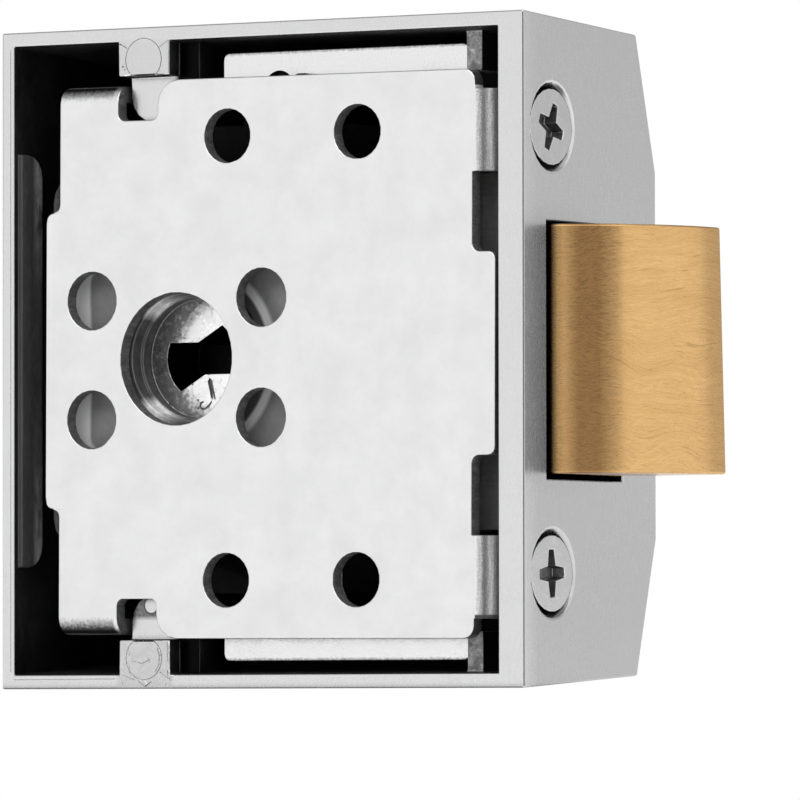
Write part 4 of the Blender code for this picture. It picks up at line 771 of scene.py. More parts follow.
@dataclass(frozen=True)
class CastSkin(Finish):
    """Plated skin of the die casting, with the flash and the pits left at its lugs.

    Places are in millimetres. The forend has painted shade that darkens it towards its
    bottom and painted light along the rim, each a level and its share.
    """

    forend_x: Flat = (19.7, 19.9)
    low_z: Flat = (-6.0, -26.0)
    low_painted_shade: Flat = (0.45, 0.38)
    near_y: Flat = (2.6, 0.2)
    near_painted_light: Flat = (0.82, 0.55)
    # Painted shade: a dark line along the forend's corner edge.
    corner: Patch = Patch((19.947, 0.053, 0.0), (0.050, 0.050, 32.3), 0.10, 0.90, 0.03)
    upper_lug: Patch = Patch((-23.5, 0.0, 29.3), (2.9, 0.5, 1.6), 0.52, 0.30)
    lower_lug: Patch = Patch((-23.5, 0.0, -29.9), (2.9, 0.5, 2.2), 0.50, 0.58)
    # Painted shadow: the seat's end is near black.
    seat_end_shadow: Patch = Patch((-19.0, 1.9, 0.0), (1.6, 0.9, 31.0), 0.004)
    seat: Patch = Patch((-24.3, 2.0, -24.2), (2.0, 0.6, 1.1))
    seat_painted_shadow: Flat = (0.22, 0.08)
    seat_share: float = 0.95
    speckle: Marks = Marks(fineness=3.0)
    shadow_beyond_boss: Annulus = Annulus((-23.9, 0.0, -24.3), 0.78, FAR, 0.12)
    boss_ring: Annulus = Annulus((-23.9, 0.0, -24.3), 0.78, 0.86, 0.06)
    chips: Patch = Patch((-25.8, 0.0, 29.6), (0.45, 0.5, 1.1))
    chip_pits: Pitting = Pitting(0.55, 0.36, 0.2)
    chip_depth: float = 0.12
    flash_noise: Place = (0.75, 0.4, 0.4)
    flash_distortion: float = 1.0
    flash_height: float = 0.11
    flash_step: Flat = (0.45, 0.55)
    flash_step_height: float = 0.25

    def tint(self, graph: Graph, base: Socket) -> Socket:
        """Paints shade and light on the forend, a shade line on its corner and shadow on the seats,
        tones the lugs and fills the chips with dirt and painted shade.

        Args:
            graph: The material's tree.
            base: The common colour.

        Returns:
            The colour with the special work on it.
        """
        axes = graph.axes()
        front = graph.spread(axes[0], *self.forend_x)
        # Painted shade towards the forend's bottom, and painted light near the rim.
        for along, span, (shade, share) in (
            (axes[2], self.low_z, self.low_painted_shade), (axes[1], self.near_y, self.near_painted_light),
        ):
            mask = graph.times(front, graph.spread(along, *span))
            base = graph.blend(mask, base, grey(shade), share)
        for patch in (self.corner, self.upper_lug, self.lower_lug, self.seat_end_shadow):
            base = patch.over(graph, base)
        # Painted shadow, speckled, on the seat beyond its boss; dirt and painted shade in the ring
        # round it.
        seat = self.seat.mask(graph)
        shade = graph.blend(self.speckle.mask(graph), *map(grey, self.seat_painted_shadow))
        beyond = graph.times(seat, self.shadow_beyond_boss.mask(graph))
        base = graph.blend(beyond, base, shade, self.seat_share)
        base = graph.blend(graph.times(seat, self.boss_ring.mask(graph)), base, self.dirt_and_shade)
        return graph.blend(self.chip_mask(graph), base, self.dirt_and_shade)

    def chip_mask(self, graph: Graph) -> Socket:
        """Sharp pits beside the upper lug's plug."""
        return graph.times(self.chip_pits.mask(graph), self.chips.mask(graph))

    def relief(self, graph: Graph, height: Socket) -> Socket:
        """Adds the wavy flash over the lower lug and sinks the chips.

        Args:
            graph: The material's tree.
            height: The common height, in millimetres.

        Returns:
            The height with the special work on it.
        """
        place = graph.millimetres()
        wave = graph.noise(place, *self.flash_noise, self.flash_distortion)
        step = graph.times(graph.spread(wave, *self.flash_step), self.flash_step_height)
        flash = graph.times(graph.plus(wave, step), self.lower_lug.mask(graph))
        height = graph.plus(height, graph.times(flash, self.flash_height))
        return graph.math("SUBTRACT", height, graph.times(self.chip_mask(graph), self.chip_depth))


@dataclass(frozen=True)
class PadWithPaintedGlint(Finish):
    """Rough cast pad with painted light in patches along its deep edge, most of all towards its
    ends.

    Places are in millimetres.
    """

    painted_glint: Colour = (0.55, 0.55, 0.55)
    deep: Flat = (2.5, 3.3)
    ends: Flat = (6.0, 15.0)
    shares: Flat = (0.12, 0.9)
    patches: Marks = Marks((1.0, 1.0, 0.4), 0.9, 0.0, 0.30, 0.62)

    def tint(self, graph: Graph, base: Socket) -> Socket:
        """Paints light on the deep edge in patches.

        Args:
            graph: The material's tree.
            base: The common colour.

        Returns:
            The colour with the special work on it.
        """
        axes = graph.axes()
        deep = graph.spread(axes[1], *self.deep)
        ends = graph.spread(graph.math("ABSOLUTE", axes[2]), *self.ends, self.shares)
        mask = graph.times(graph.times(deep, ends), self.patches.mask(graph))
        return graph.blend(mask, base, self.painted_glint)


@dataclass(frozen=True)
class EaredSheet(Finish):
    """Plated sheet with painted shade, frayed by grit, on its two ears where they bend in.

    Places are in millimetres.
    """

    ear_x: Flat = (-27.1, -27.4)
    ear_end: Flat = (25.7, 26.8)
    bend_y: Flat = (0.8, 1.4)
    grit: Marks = Marks(fineness=3.2, low=0.3, high=0.7)
    fray: float = 0.5
    shade: Colour = (0.07, 0.07, 0.07)

    def tint(self, graph: Graph, base: Socket) -> Socket:
        """Paints shade on the ears' bent ends.

        Args:
            graph: The material's tree.
            base: The common colour.

        Returns:
            The colour with the special work on it.
        """
        axes = graph.axes()
        frayed = graph.times(self.grit.mask(graph), self.fray)
        reach = graph.plus(graph.math("ABSOLUTE", axes[2]), frayed)
        tip, bend = graph.spread(reach, *self.ear_end), graph.spread(axes[1], *self.bend_y)
        end = graph.math("MAXIMUM", tip, bend)
        ear = graph.spread(axes[0], *self.ear_x)
        # Painted shade on the ears' bent ends.
        return graph.blend(graph.times(end, ear), base, self.shade)


@dataclass(frozen=True)
class BentLeg(Finish):
    """Plated leg with painted shade lines along its bend and a painted highlight at its start.

    Each line is its place along X and its half width, in millimetres.
    """

    lines: Tuple[Flat, ...] = ((15.42, 0.24), (16.46, 0.17))
    line_soft: Flat = (0.19, -0.14)
    line_share: float = 0.9
    grit: Marks = Marks(fineness=8.5, low=0.3, high=0.7)
    fray: float = 0.42
    shade: Colour = (0.13, 0.13, 0.13)
    bend: Flat = (14.90, 14.50)
    bend_highlight: Colour = (0.94, 0.94, 0.94)
    specks: Marks = Marks(fineness=6.5, low=0.50, high=0.62)
    speck_share: float = 0.35
    end_z: Flat = (25.4, 25.55)

    def tint(self, graph: Graph, base: Socket) -> Socket:
        """Draws the painted highlight at the bend, the painted shade lines and the specks.

        Args:
            graph: The material's tree.
            base: The common colour.

        Returns:
            The colour with the special work on it.
        """
        axes = graph.axes()
        frayed = graph.math("SUBTRACT", self.grit.mask(graph), NOISE_MIDDLE)
        frayed = graph.times(frayed, self.fray)
        # Painted highlight where the plate turns into the leg.
        bend = graph.spread(graph.plus(axes[0], frayed), *self.bend)
        base = graph.blend(bend, base, self.bend_highlight)
        # Painted shade lines along the bend.
        for middle, half in self.lines:
            low, high = (half + soft for soft in self.line_soft)
            line = graph.near(axes[0], middle, low, high, frayed)
            base = graph.blend(line, base, self.shade, self.line_share)
        inside = graph.times(self.specks.mask(graph), graph.math("SUBTRACT", 1.0, bend))
        base = graph.blend(inside, base, self.shade, self.speck_share)
        end = graph.spread(graph.math("ABSOLUTE", axes[2]), *self.end_z)
        return graph.blend(end, base, self.dirt_and_shade)


@dataclass(frozen=True)
class TurnedFace(Finish):
    """Turned steel with a speckled crescent of painted shade at one side of its face.

    Places are in millimetres.
    """

    shaded_side: Annulus = Annulus((-17.0, 0.0, -0.1), 6.6, FAR, 1.7)
    grit: Marks = Marks(fineness=1.9, low=0.3, high=0.7)
    speckle: float = 0.8
    edge_of_shade: Flat = (0.50, 1.35)
    shade: Colour = (0.20, 0.20, 0.20)
    shade_share: float = 0.95
    mark_y: Flat = (4.93, 4.95)
    mark: Colour = (0.20, 0.20, 0.20)

    def tint(self, graph: Graph, base: Socket) -> Socket:
        """Paints shade on the crescent and darkens the cut mark.

        Args:
            graph: The material's tree.
            base: The common colour.

        Returns:
            The colour with the special work on it.
        """
        speckles = graph.times(self.grit.mask(graph), self.speckle)
        # Painted shade on one side of the face, frayed by speckles.
        dull = graph.plus(self.shaded_side.mask(graph), speckles)
        mask = graph.spread(dull, *self.edge_of_shade)
        base = graph.blend(mask, base, self.shade, self.shade_share)
        return graph.blend(graph.spread(graph.axes()[1], *self.mark_y), base, self.mark)


@dataclass(frozen=True)
class DishedSheet(Finish):
    """Bright sheet with painted shadow in the dish round the hub and painted shade on its core,
    but for a bright ring between them.

    Radii and places are in millimetres.
    """

    dark: Colour = (0.33, 0.33, 0.33)
    blotches: Marks = Marks(fineness=0.5, low=0.3, high=0.7)
    blotch_share: float = 0.72
    deep: Colour = (0.12, 0.12, 0.12)
    dish: Annulus = Annulus(HUB_MIDDLE, 9.75, 14.2, 0.45)
    shaded_core: Annulus = Annulus(HUB_MIDDLE, -1.0, 8.45, 0.3)
    left_edge: Flat = (-32.17, -31.83)
    strip: Flat = (25.8, 26.6)
    open_colour: Colour = (0.80, 0.80, 0.80)
    polish: float = 0.14
    margin: Flat = (-34.4, -34.6)
    margin_shade: float = 0.06
    rim: Flat = (29.55, 30.0)
    grit: Marks = Marks(fineness=3.2, low=0.3, high=0.7)
    fray: float = 0.2
    rim_shade: float = 0.02

    def tint(self, graph: Graph, base: Socket) -> Socket:
        """Paints shadow on the dish, the core and the left margin, and darkens the top and bottom
        edges.

        Args:
            graph: The material's tree.
            base: The common colour.

        Returns:
            The colour with the special work on it.
        """
        axes = graph.axes()
        darker = tuple(level * self.blotch_share for level in self.dark)
        shade = graph.blend(self.blotches.mask(graph), self.dark, darker)
        # Painted shadow on the dish, right of the edge where light comes in.
        dish = graph.times(self.dish.mask(graph), graph.spread(axes[0], *self.left_edge))
        base = graph.blend(dish, base, shade)
        base = graph.blend(self.shaded_core.mask(graph), base, self.deep)
        base = graph.blend(self.open_strip(graph), base, self.open_colour)
        # Painted shadow in the left margin.
        base = graph.blend(graph.spread(axes[0], *self.margin), base, grey(self.margin_shade))
        frayed = graph.times(self.grit.mask(graph), self.fray)
        height = graph.plus(graph.math("ABSOLUTE", axes[2]), frayed)
        return graph.blend(graph.spread(height, *self.rim), base, grey(self.rim_shade))

    def open_strip(self, graph: Graph) -> Socket:
        """The two strips that lie open above and below the mounting plate."""
        return graph.spread(graph.math("ABSOLUTE", graph.axes()[2]), *self.strip)

    def sheen(self, graph: Graph, rough: Socket) -> Tuple[Value, Value]:
        """Polishes the two open strips and leaves the middle dull.

        Args:
            graph: The material's tree.
            rough: The common roughness.

        Returns:
            The roughness and the share of metal.
        """
        strip = self.open_strip(graph)
        smooth = graph.math("SUBTRACT", rough, graph.times(strip, self.polish))
        return smooth, graph.plus(graph.times(strip, 1.0 - self.metallic), self.metallic)


@dataclass(frozen=True)
class BrushedBrass(Finish):
    """Brushed brass with thin wavy strokes, a band of painted dark reflection and painted shade at
    its root, whose image in the plated forend is grey.

    Places are in millimetres.
    """

    stroke: Colour = (0.34, 0.19, 0.07)
    brushings: Tuple[Brushing, ...] = (
        Brushing((0.03, 0.03, 1.0), 4.4, 6.0, 0.12, 0.22),
        Brushing((0.10, 0.10, 1.0), 3.1, 5.0, 0.022, 0.28),
        Brushing((0.03, 0.03, 1.0), 2.2, 6.0, 0.014, 0.50),
    )
    painted_dark_band: Colour = (0.30, 0.165, 0.066)
    painted_dark_band_share: float = 0.90
    painted_dark_band_x: Place = (23.9, 2.9, 0.9)
    root_shade_x: Flat = (20.90, 20.15)
    image: Colour = (0.24, 0.24, 0.24)

    def tint(self, graph: Graph, base: Socket) -> Socket:
        """Draws the painted dark reflection band, the strokes and the painted shade at the root.

        Args:
            graph: The material's tree.
            base: The common colour.

        Returns:
            The colour with the special work on it.
        """
        across = graph.axes()[0]
        in_dark_band = graph.near(across, *self.painted_dark_band_x)
        base = graph.blend(in_dark_band, base, self.painted_dark_band, self.painted_dark_band_share)
        for brushing in self.brushings:
            base = graph.blend(brushing.mask(graph), base, self.stroke, brushing.share)
        # Painted shade at the bolt's root, by the slot.
        base = graph.blend(graph.spread(across, *self.root_shade_x), base, self.dirt_and_shade)
        return graph.blend(graph.add("LightPath").outputs["Is Glossy Ray"], base, self.image)


@dataclass(frozen=True)
class BowlSteel(Finish):
    """Dull steel of the follower's bowl, with two crescents of painted reflection in it."""

    painted_glint: Colour = (0.97, 0.97, 0.97)
    crescent: Place = (0.80, 0.20, 0.06)
    lip_y: Flat = (3.9, 3.3)
    grit: Marks = Marks(fineness=1.6, low=0.3, high=0.6)
    patchy: float = 0.35

    def tint(self, graph: Graph, base: Socket) -> Socket:
        """Draws the two crescents of painted reflection.

        Args:
            graph: The material's tree.
            base: The common colour.

        Returns:
            The colour with the special work on it.
        """
        out = graph.vector("SUBTRACT", graph.millimetres(), HUB_MIDDLE)
        turn = graph.vector("NORMALIZE", graph.vector("MULTIPLY", out, (1.0, 0.0, 1.0)))
        height = graph.math("ABSOLUTE", graph.add("SeparateXYZ", {0: turn}).outputs[2])
        lip = graph.spread(graph.axes()[1], *self.lip_y)
        mask = graph.times(graph.near(height, *self.crescent), lip)
        patches = graph.times(self.grit.mask(graph), self.patchy)
        mask = graph.times(mask, graph.plus(patches, 1 - self.patchy))
        return graph.blend(mask, base, self.painted_glint)


CHROME = CastSkin(
    "satin_chrome_skin", grey(0.69), grey(0.655), grey(0.80), grey(0.08), 0.20, 0.26,
    clouds=Marks((1.0, 1.0, 1.0), 0.16, 3.0, 0.3, 0.75),
    grain=Marks((2.2, 2.2, 0.25), 2.4, 1.0, 0.35, 0.7), grain_colour=0.25, grain_height=0.0012,
    pits=0.05, pit_spacing=5.0, hollow=0.85, hollow_reach=0.0009,
)
# Painted shade: the case's inside is near black, for the shade in the hollow case.
CASE_INSIDE_SHADE = Finish(
    "case_inside_painted_shade", grey(0.050), grey(0.085), grey(0.16), grey(0.010), 0.42, 0.55,
    clouds=Marks((1.0, 1.0, 0.5), 0.16, 0.0, 0.4, 0.7),
    grain=Marks((1.0, 1.0, 1.0), 1.8), grain_colour=0.3, grain_height=0.006,
    skin_height=0.012, edge=0.6, hollow=0.5,
)
CASE_PAD = PadWithPaintedGlint(
    "case_cast_pad", grey(0.13), grey(0.07), grey(0.50), grey(0.02), 0.50, 0.62, metallic=0.4,
    clouds=Marks((1.0, 1.0, 0.35), 0.35, 1.0, 0.35, 0.7),
    grain=Marks((1.0, 1.0, 0.4), 2.4), grain_colour=0.5, grain_height=0.02,
    skin_height=0.02, edge=0.0, hollow=0.5, edge_width=0.0004,
)
CAST_POST = Finish(
    "case_cast_post", grey(0.78), grey(0.30), grey(0.95), grey(0.02), 0.45, 0.60, metallic=0.6,
    clouds=Marks(fineness=0.8, low=0.40, high=0.62),
    grain=Marks((1.0, 1.0, 1.0), 2.8, 0.0, 0.38, 0.6), grain_colour=0.6, grain_height=0.09,
    skin_height=0.16, pits=0.32, pit_spacing=0.8, edge=0.6, hollow=0.5,
)
SHEET = EaredSheet(
    "nickel_plated_sheet", grey(0.805), grey(0.745), grey(0.89), grey(0.12), 0.33, 0.40,
    clouds=Marks((1.0, 1.0, 1.0), 0.22, 3.0, 0.36, 0.66),
    grain=Marks((1.0, 1.0, 1.0), 2.2, 0.0, 0.35, 0.75), grain_colour=0.30, grain_height=0.0022,
    edge=0.35, hollow=0.55, hollow_reach=0.0007,
)
SHEET_LEG = BentLeg(
    "nickel_plated_leg", grey(0.74), grey(0.43), grey(0.92), grey(0.05), 0.40, 0.50, metallic=0.15,
    clouds=Marks((2.4, 2.4, 0.10), 0.9, 1.5, 0.42, 0.62),
    grain=Marks((3.0, 3.0, 0.30), 2.6, 0.8, 0.35, 0.65), grain_colour=0.55, grain_height=0.05,
    skin_height=0.02, edge=0.4, hollow=0.7,
)
SHEARED = Finish(
    "sheared_sheet_edge", grey(0.19), grey(0.07), grey(0.60), grey(0.02), 0.48, 0.60, metallic=0.2,
    clouds=Marks((1.0, 0.4, 1.0), 1.1, 0.0, 0.35, 0.65),
    grain=Marks((1.0, 0.3, 1.0), 4.0, 0.0, 0.4, 0.6), grain_colour=0.5, grain_height=0.03,
    skin_height=0.02, edge=0.30, hollow=0.5,
)
COVER_SHEET = DishedSheet(
    "cover_plated_sheet", grey(0.97), grey(0.94), grey(0.97), grey(0.10), 0.30, 0.38, metallic=0.05,
    clouds=Marks((1.0, 1.0, 1.0), 0.3, 1.0, 0.38, 0.68),
    grain=Marks((1.0, 1.0, 1.0), 2.6, 0.0, 0.35, 0.75), grain_colour=0.35, grain_height=0.004,
    edge=0.35, hollow=0.4, hollow_reach=0.0006,
)
BRASS = BrushedBrass(
    "brushed_brass_bolt", (0.79, 0.50, 0.225), (0.64, 0.385, 0.155), (0.86, 0.60, 0.33),
    (0.035, 0.018, 0.006), 0.18, 0.24,
    clouds=Marks((0.12, 0.12, 1.0), 0.45, 4.0, 0.35, 0.75),
    grain=Marks((0.14, 0.14, 1.0), 9.0, 3.0, 0.34, 0.68), grain_colour=0.60, grain_height=0.0013,
    edge=0.25, hollow=1.0, hollow_reach=0.0010,
)
TURNED = Finish(
    "turned_nickel", grey(0.80), grey(0.66), grey(0.95), grey(0.04), 0.26, 0.34,
    clouds=Marks(fineness=0.8, low=0.40, high=0.66),
    grain=Marks(fineness=3.4, low=0.35, high=0.62), grain_colour=0.45, grain_height=0.003,
    pits=0.20, pit_spacing=0.6, edge=0.7, hollow=0.3,
)
HUB_FACE = TurnedFace(
    "follower_face_nickel", grey(0.97), grey(0.92), grey(0.97), grey(0.04), 0.24, 0.32,
    clouds=Marks(fineness=0.8, low=0.40, high=0.66),
    grain=Marks(fineness=3.8, low=0.35, high=0.62), grain_colour=0.45, grain_height=0.003,
    pits=0.30, pit_spacing=0.55, edge=0.7, hollow=0.7, hollow_reach=0.0003,
)
BOWL = BowlSteel(
    "follower_bowl_steel", grey(0.115), grey(0.055), grey(0.70), grey(0.01), 0.36, 0.48,
    metallic=0.2, clouds=Marks(fineness=0.6, low=0.35, high=0.68),
    grain=Rings(fineness=6.0), grain_colour=0.45, grain_height=0.004,
    pits=0.10, pit_spacing=0.9, edge=0.45, hollow=0.4, edge_width=0.00022,
)
SLOT_DARK = Finish(
    "slot_in_shadow", grey(0.012), grey(0.006), grey(0.10), grey(0.003), 0.30, 0.40,
    clouds=Marks((1.0, 0.2, 1.0), 0.9), grain=Marks(fineness=2.0), grain_colour=0.3,
    grain_height=0.002, edge=0.3, hollow=0.6,
)
# Painted shade: the cover's screws are near black, as dark as the shadow they sit in.
SCREW_IN_PAINTED_SHADE = Finish(
    "screw_in_painted_shade", grey(0.05), grey(0.03), grey(0.45), grey(0.01), 0.36, 0.46, metallic=0.8,
    clouds=Marks(fineness=0.6), grain=Marks(fineness=2.5), grain_colour=0.25, grain_height=0.003,
    edge=0.8, hollow=0.5, hollow_reach=0.0008,
)
SCREW_STEEL = Finish(
    "screw_nickel", grey(0.70), grey(0.60), grey(0.92), grey(0.03), 0.22, 0.30,
    clouds=Marks(fineness=0.6), grain=Marks(fineness=2.5), grain_colour=0.25, grain_height=0.003,
    edge=0.7, hollow=0.80, hollow_reach=0.0010,
)
RECESS = Finish(
    "screw_recess_in_shadow", grey(0.26), grey(0.13), grey(0.80), grey(0.02), 0.26, 0.36,
    metallic=0.8, clouds=Marks(fineness=1.4), grain=Marks(fineness=3.0), grain_colour=0.3,
    grain_height=0.004, edge=0.6, hollow=0.5, hollow_reach=0.0008,
)
DARK = Finish(
    "dark_pressed_steel", grey(0.34), grey(0.16), grey(0.55), grey(0.010), 0.36, 0.48, metallic=0.5,
    clouds=Marks((1.0, 1.0, 0.4), 0.35, 1.0, 0.3, 0.7),
    grain=Marks((0.15, 1.0, 1.0), 3.0, 0.5), grain_colour=0.4, grain_height=0.004,
    edge=0.6, hollow=0.5,
)
SPRING = Finish(
    "spring_wire", grey(0.40), grey(0.28), grey(0.70), grey(0.02), 0.24, 0.34,
    clouds=Marks(fineness=0.8), grain=Marks(fineness=4.0), grain_colour=0.3, grain_height=0.002,
    edge=0.0, hollow=0.6,
)
BUSH = Finish(
    "bush_brass_turned", (0.55, 0.38, 0.17), (0.42, 0.27, 0.11), (0.75, 0.55, 0.30),
    (0.03, 0.02, 0.01), 0.3, 0.4, clouds=Marks(fineness=0.5), grain=Rings(), grain_colour=0.4,
    grain_height=0.003, edge=0.5,
)
NYLON = Finish(
    "washer_nylon", (0.78, 0.77, 0.72), (0.70, 0.69, 0.64), (0.84, 0.83, 0.79), (0.25, 0.24, 0.22),
    0.5, 0.6, metallic=0.0, clouds=Marks(fineness=0.4), grain=Marks(fineness=2.0),
    grain_colour=0.2, grain_height=0.004, edge=0.2,
)
KNOB_CHROME = Finish(
    "satin_chrome_knob", grey(0.70), grey(0.64), grey(0.80), grey(0.08), 0.22, 0.30,
    clouds=Marks(fineness=0.12, low=0.3, high=0.75),
    grain=Rings(fineness=7.0), grain_colour=0.3, grain_height=0.0015, edge=0.4, hollow=0.6,
)


# Mesh work


class Shape:
    """A mesh that becomes one piece of the lock."""

    def __init__(self) -> None:
        """Starts from nothing."""
        self.mesh = bmesh.new()

    @classmethod
    def of_node(cls, node: str) -> "Shape":
        """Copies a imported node, with its triangles merged into whole faces.

        Args:
            node: The node's name.

        Returns:
            The shape.
        """
        shape = cls()
        shape.mesh.from_mesh(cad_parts[node].data)
        bmesh.ops.remove_doubles(shape.mesh, verts=shape.mesh.verts, dist=MERGE_DISTANCE)
        bmesh.ops.dissolve_limit(
            shape.mesh, angle_limit=FLAT_ANGLE, verts=shape.mesh.verts,
            edges=shape.mesh.edges, delimit=set(),
        )
        return shape

    def move(self, where: Callable[[Vector], Vector]) -> None:
        """Moves each point of the mesh.

        Args:
            where: Gives a point's new place from its old one.
        """
        for vert in self.mesh.verts:
            vert.co = where(vert.co.copy())

    @staticmethod
    def circle(centre: Flat, radius: float, y: float, sides: int) -> List[Vector]:
        """Lays a circle in a plane across Y.

        Args:
            centre: Its centre along X and Z.
            radius: Its radius.
            y: Where the plane lies.
            sides: Its corners.

        Returns:
            The corners.
        """
        turns = [math.tau * (i + 0.5) / sides for i in range(sides)]
        x, z = centre
        return [Vector((x + radius * math.cos(a), y, z + radius * math.sin(a))) for a in turns]

    def rod(self, centre: Flat, radius: float, span: Flat, sides: int = 48) -> None:
        """Adds a rod along Y, such as a hole's cutter.

        Args:
            centre: Its axis along X and Z.
            radius: Its radius.
            span: Where it starts and ends along Y.
            sides: Corners of its section.
        """
        self.rings([self.circle(centre, radius, y, sides) for y in span])

    def groove(self, start: Flat, end: Flat, width: float, depth: float) -> None:
        """Adds the cutter of a scored line in the plane of the rim.

        Args:
            start: Place along X and Z of its start.
            end: Place of its end.
            width: Its width at the surface.
            depth: Its depth.
        """
        first, last = Vector((start[0], 0.0, start[1])), Vector((end[0], 0.0, end[1]))
        side = (last - first).normalized().cross(Vector((0.0, 1.0, 0.0))) * width / 2
        down, up = Vector((0.0, depth, 0.0)), Vector((0.0, -depth, 0.0))
        self.rings([[p - side * 2 + up, p + side * 2 + up, p + down] for p in (first, last)])

    def rings(self, rows: Sequence[Sequence[Vector]], closed: bool = True) -> None:
        """Joins rows of points, each a closed loop, into a skin.

        Args:
            rows: The loops, with as many points each.
            closed: Whether the first and last loops are filled.
        """
        loops = [[self.mesh.verts.new(p) for p in row] for row in rows]
        count = len(loops[0])
        for low, high in zip(loops, loops[1:]):
            for i in range(count):
                j = (i + 1) % count
                self.mesh.faces.new((low[i], low[j], high[j], high[i]))
        if closed:
            self.mesh.faces.new(loops[0][::-1])
            self.mesh.faces.new(loops[-1])

    def tube(self, path: Sequence[Vector], radius: float, sides: int = 10) -> None:
        """Sweeps a round wire along a path.

        Args:
            path: Points of its middle line.
            radius: The wire's radius.
            sides: Corners of its section.
        """
        rows = []
        across: Optional[Vector] = None
        for i, point in enumerate(path):
            before, after = path[max(i - 1, 0)], path[min(i + 1, len(path) - 1)]
            ahead = (after - before).normalized()
            if across is None:
                across = ahead.orthogonal().normalized()
            across = (across - ahead * across.dot(ahead)).normalized()
            side = ahead.cross(across)
            turns = [math.tau * k / sides for k in range(sides)]
            rows.append([
                point + (across * math.cos(a) + side * math.sin(a)) * radius for a in turns
            ])
        self.rings(rows)

    def data(self, name: str) -> bpy.types.Mesh:
        """Turns the mesh into an object's data, which uses it up.

        Args:
            name: The data's name.

        Returns:
            The data.
        """
        data = bpy.data.meshes.new(name)
        self.mesh.to_mesh(data)
        self.mesh.free()
        return data

    def piece(
        self,
        name: str,
        finishes: Sequence[Finish],
        body: Optional[Body],
        nodes: Sequence[str],
        slot: Slot,
        choose: Optional[Callable[[Vector, Vector], int]] = None,
        round_edges: float = 0.0,
        segments: int = 2,
        extra: Optional[Callable[[bpy.types.Object], None]] = None,
    ) -> bpy.types.Object:
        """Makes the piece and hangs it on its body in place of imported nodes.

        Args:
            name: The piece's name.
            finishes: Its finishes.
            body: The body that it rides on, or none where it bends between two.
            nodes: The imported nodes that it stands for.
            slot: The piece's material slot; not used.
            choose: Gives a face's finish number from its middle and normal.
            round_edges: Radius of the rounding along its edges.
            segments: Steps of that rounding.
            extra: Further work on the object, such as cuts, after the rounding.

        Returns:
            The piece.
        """
        bmesh.ops.recalc_face_normals(self.mesh, faces=self.mesh.faces)
        for face in self.mesh.faces:
            face.smooth = True
            if choose:
                face.material_index = choose(face.calc_center_median(), face.normal)
        made = stand(name, self.data(name))
        for finish in finishes:
            made.data.materials.append(finish.material())
        if round_edges:
            round_off(made, round_edges, segments)
            settle(made)
        if extra:
            extra(made)
        made.data.set_sharp_from_angle(angle=SMOOTH_ANGLE)
        level_normals(made)
        settle(made)
        if body:
            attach(made, body.value)
        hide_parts(*nodes)
        LOG.info("%s: %d faces in place of %s", name, len(made.data.polygons), ", ".join(nodes))
        return made


def stand(name: str, data: Any) -> bpy.types.Object:
    """Puts an object into the scene.

    Args:
        name: The object's name.
        data: Its mesh, lamp or camera.

    Returns:
        The object.
    """
    made = bpy.data.objects.new(name, data)
    bpy.context.scene.collection.objects.link(made)
    return made


def aim(made: bpy.types.Object, place: Place, ahead: Vector, roll: float = 0.0) -> None:
    """Places a lamp or camera and turns it towards what it lights or sees.

    Args:
        made: The object.
        place: Where it stands.
        ahead: The way that it looks.
        roll: Its turn about that way.
    """
    made.location = place
    made.rotation_mode = "QUATERNION"
    turn = ahead.to_track_quat("-Z", "Y").to_matrix() @ Matrix.Rotation(roll, 3, "Z")
    made.rotation_quaternion = turn.to_quaternion()


def round_off(made: bpy.types.Object, radius: float, segments: int = 2) -> None:
    """Rounds an object's edges.

    Args:
        made: The object.
        radius: The rounding's radius.
        segments: Its steps.
    """
    bevel = made.modifiers.new("rounded_edges", "BEVEL")
    bevel.width = radius
    bevel.segments = segments
    bevel.limit_method = "ANGLE"
    bevel.angle_limit = BEVEL_ANGLE
    bevel.use_clamp_overlap = False


def level_normals(made: bpy.types.Object) -> None:
    """Makes large flat faces shade flat beside their rounded edges.

    Args:
        made: The object.
    """
    level = made.modifiers.new("level_normals", "WEIGHTED_NORMAL")
    level.mode = "FACE_AREA"
    level.weight = NORMAL_WEIGHT
    level.keep_sharp = True


def settle(made: bpy.types.Object) -> None:
    """Turns an object's modifiers into its mesh.

    Args:
        made: The object.
    """
    graph = bpy.context.evaluated_depsgraph_get()
    data = bpy.data.meshes.new_from_object(made.evaluated_get(graph))
    made.modifiers.clear()
    old = made.data
    made.data = data
    bpy.data.meshes.remove(old)


def carve(made: bpy.types.Object, tool: Shape) -> None:
    """Cuts a shape out of an object.

    Args:
        made: The object.
        tool: The shape, which is used up.
    """
    bmesh.ops.recalc_face_normals(tool.mesh, faces=tool.mesh.faces)
    other = stand("tool", tool.data("tool"))
    step = made.modifiers.new("cut", "BOOLEAN")
    step.operation = "DIFFERENCE"
    step.solver = "EXACT"
    step.object = other
    settle(made)
    bpy.data.meshes.remove(other.data)


def dress(node: str, finish: Finish, round_edges: float = 0.0001) -> None:
    """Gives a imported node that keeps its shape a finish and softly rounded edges.

    Args:
        node: The node's name.
        finish: Its finish.
        round_edges: Radius of the rounding along its edges.
    """
    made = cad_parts[node]
    made.data.materials.clear()
    made.data.materials.append(finish.material())
    made.data.shade_smooth()
    weld = made.modifiers.new("whole_surface", "WELD")
    weld.merge_threshold = MERGE_DISTANCE
    flat = made.modifiers.new("whole_faces", "DECIMATE")
    flat.decimate_type = "DISSOLVE"
    flat.angle_limit = FLAT_ANGLE
    round_off(made, round_edges)
    level_normals(made)
    LOG.info("%s: packed shape with finish %s", node, finish.name)


# Sub-assemblies


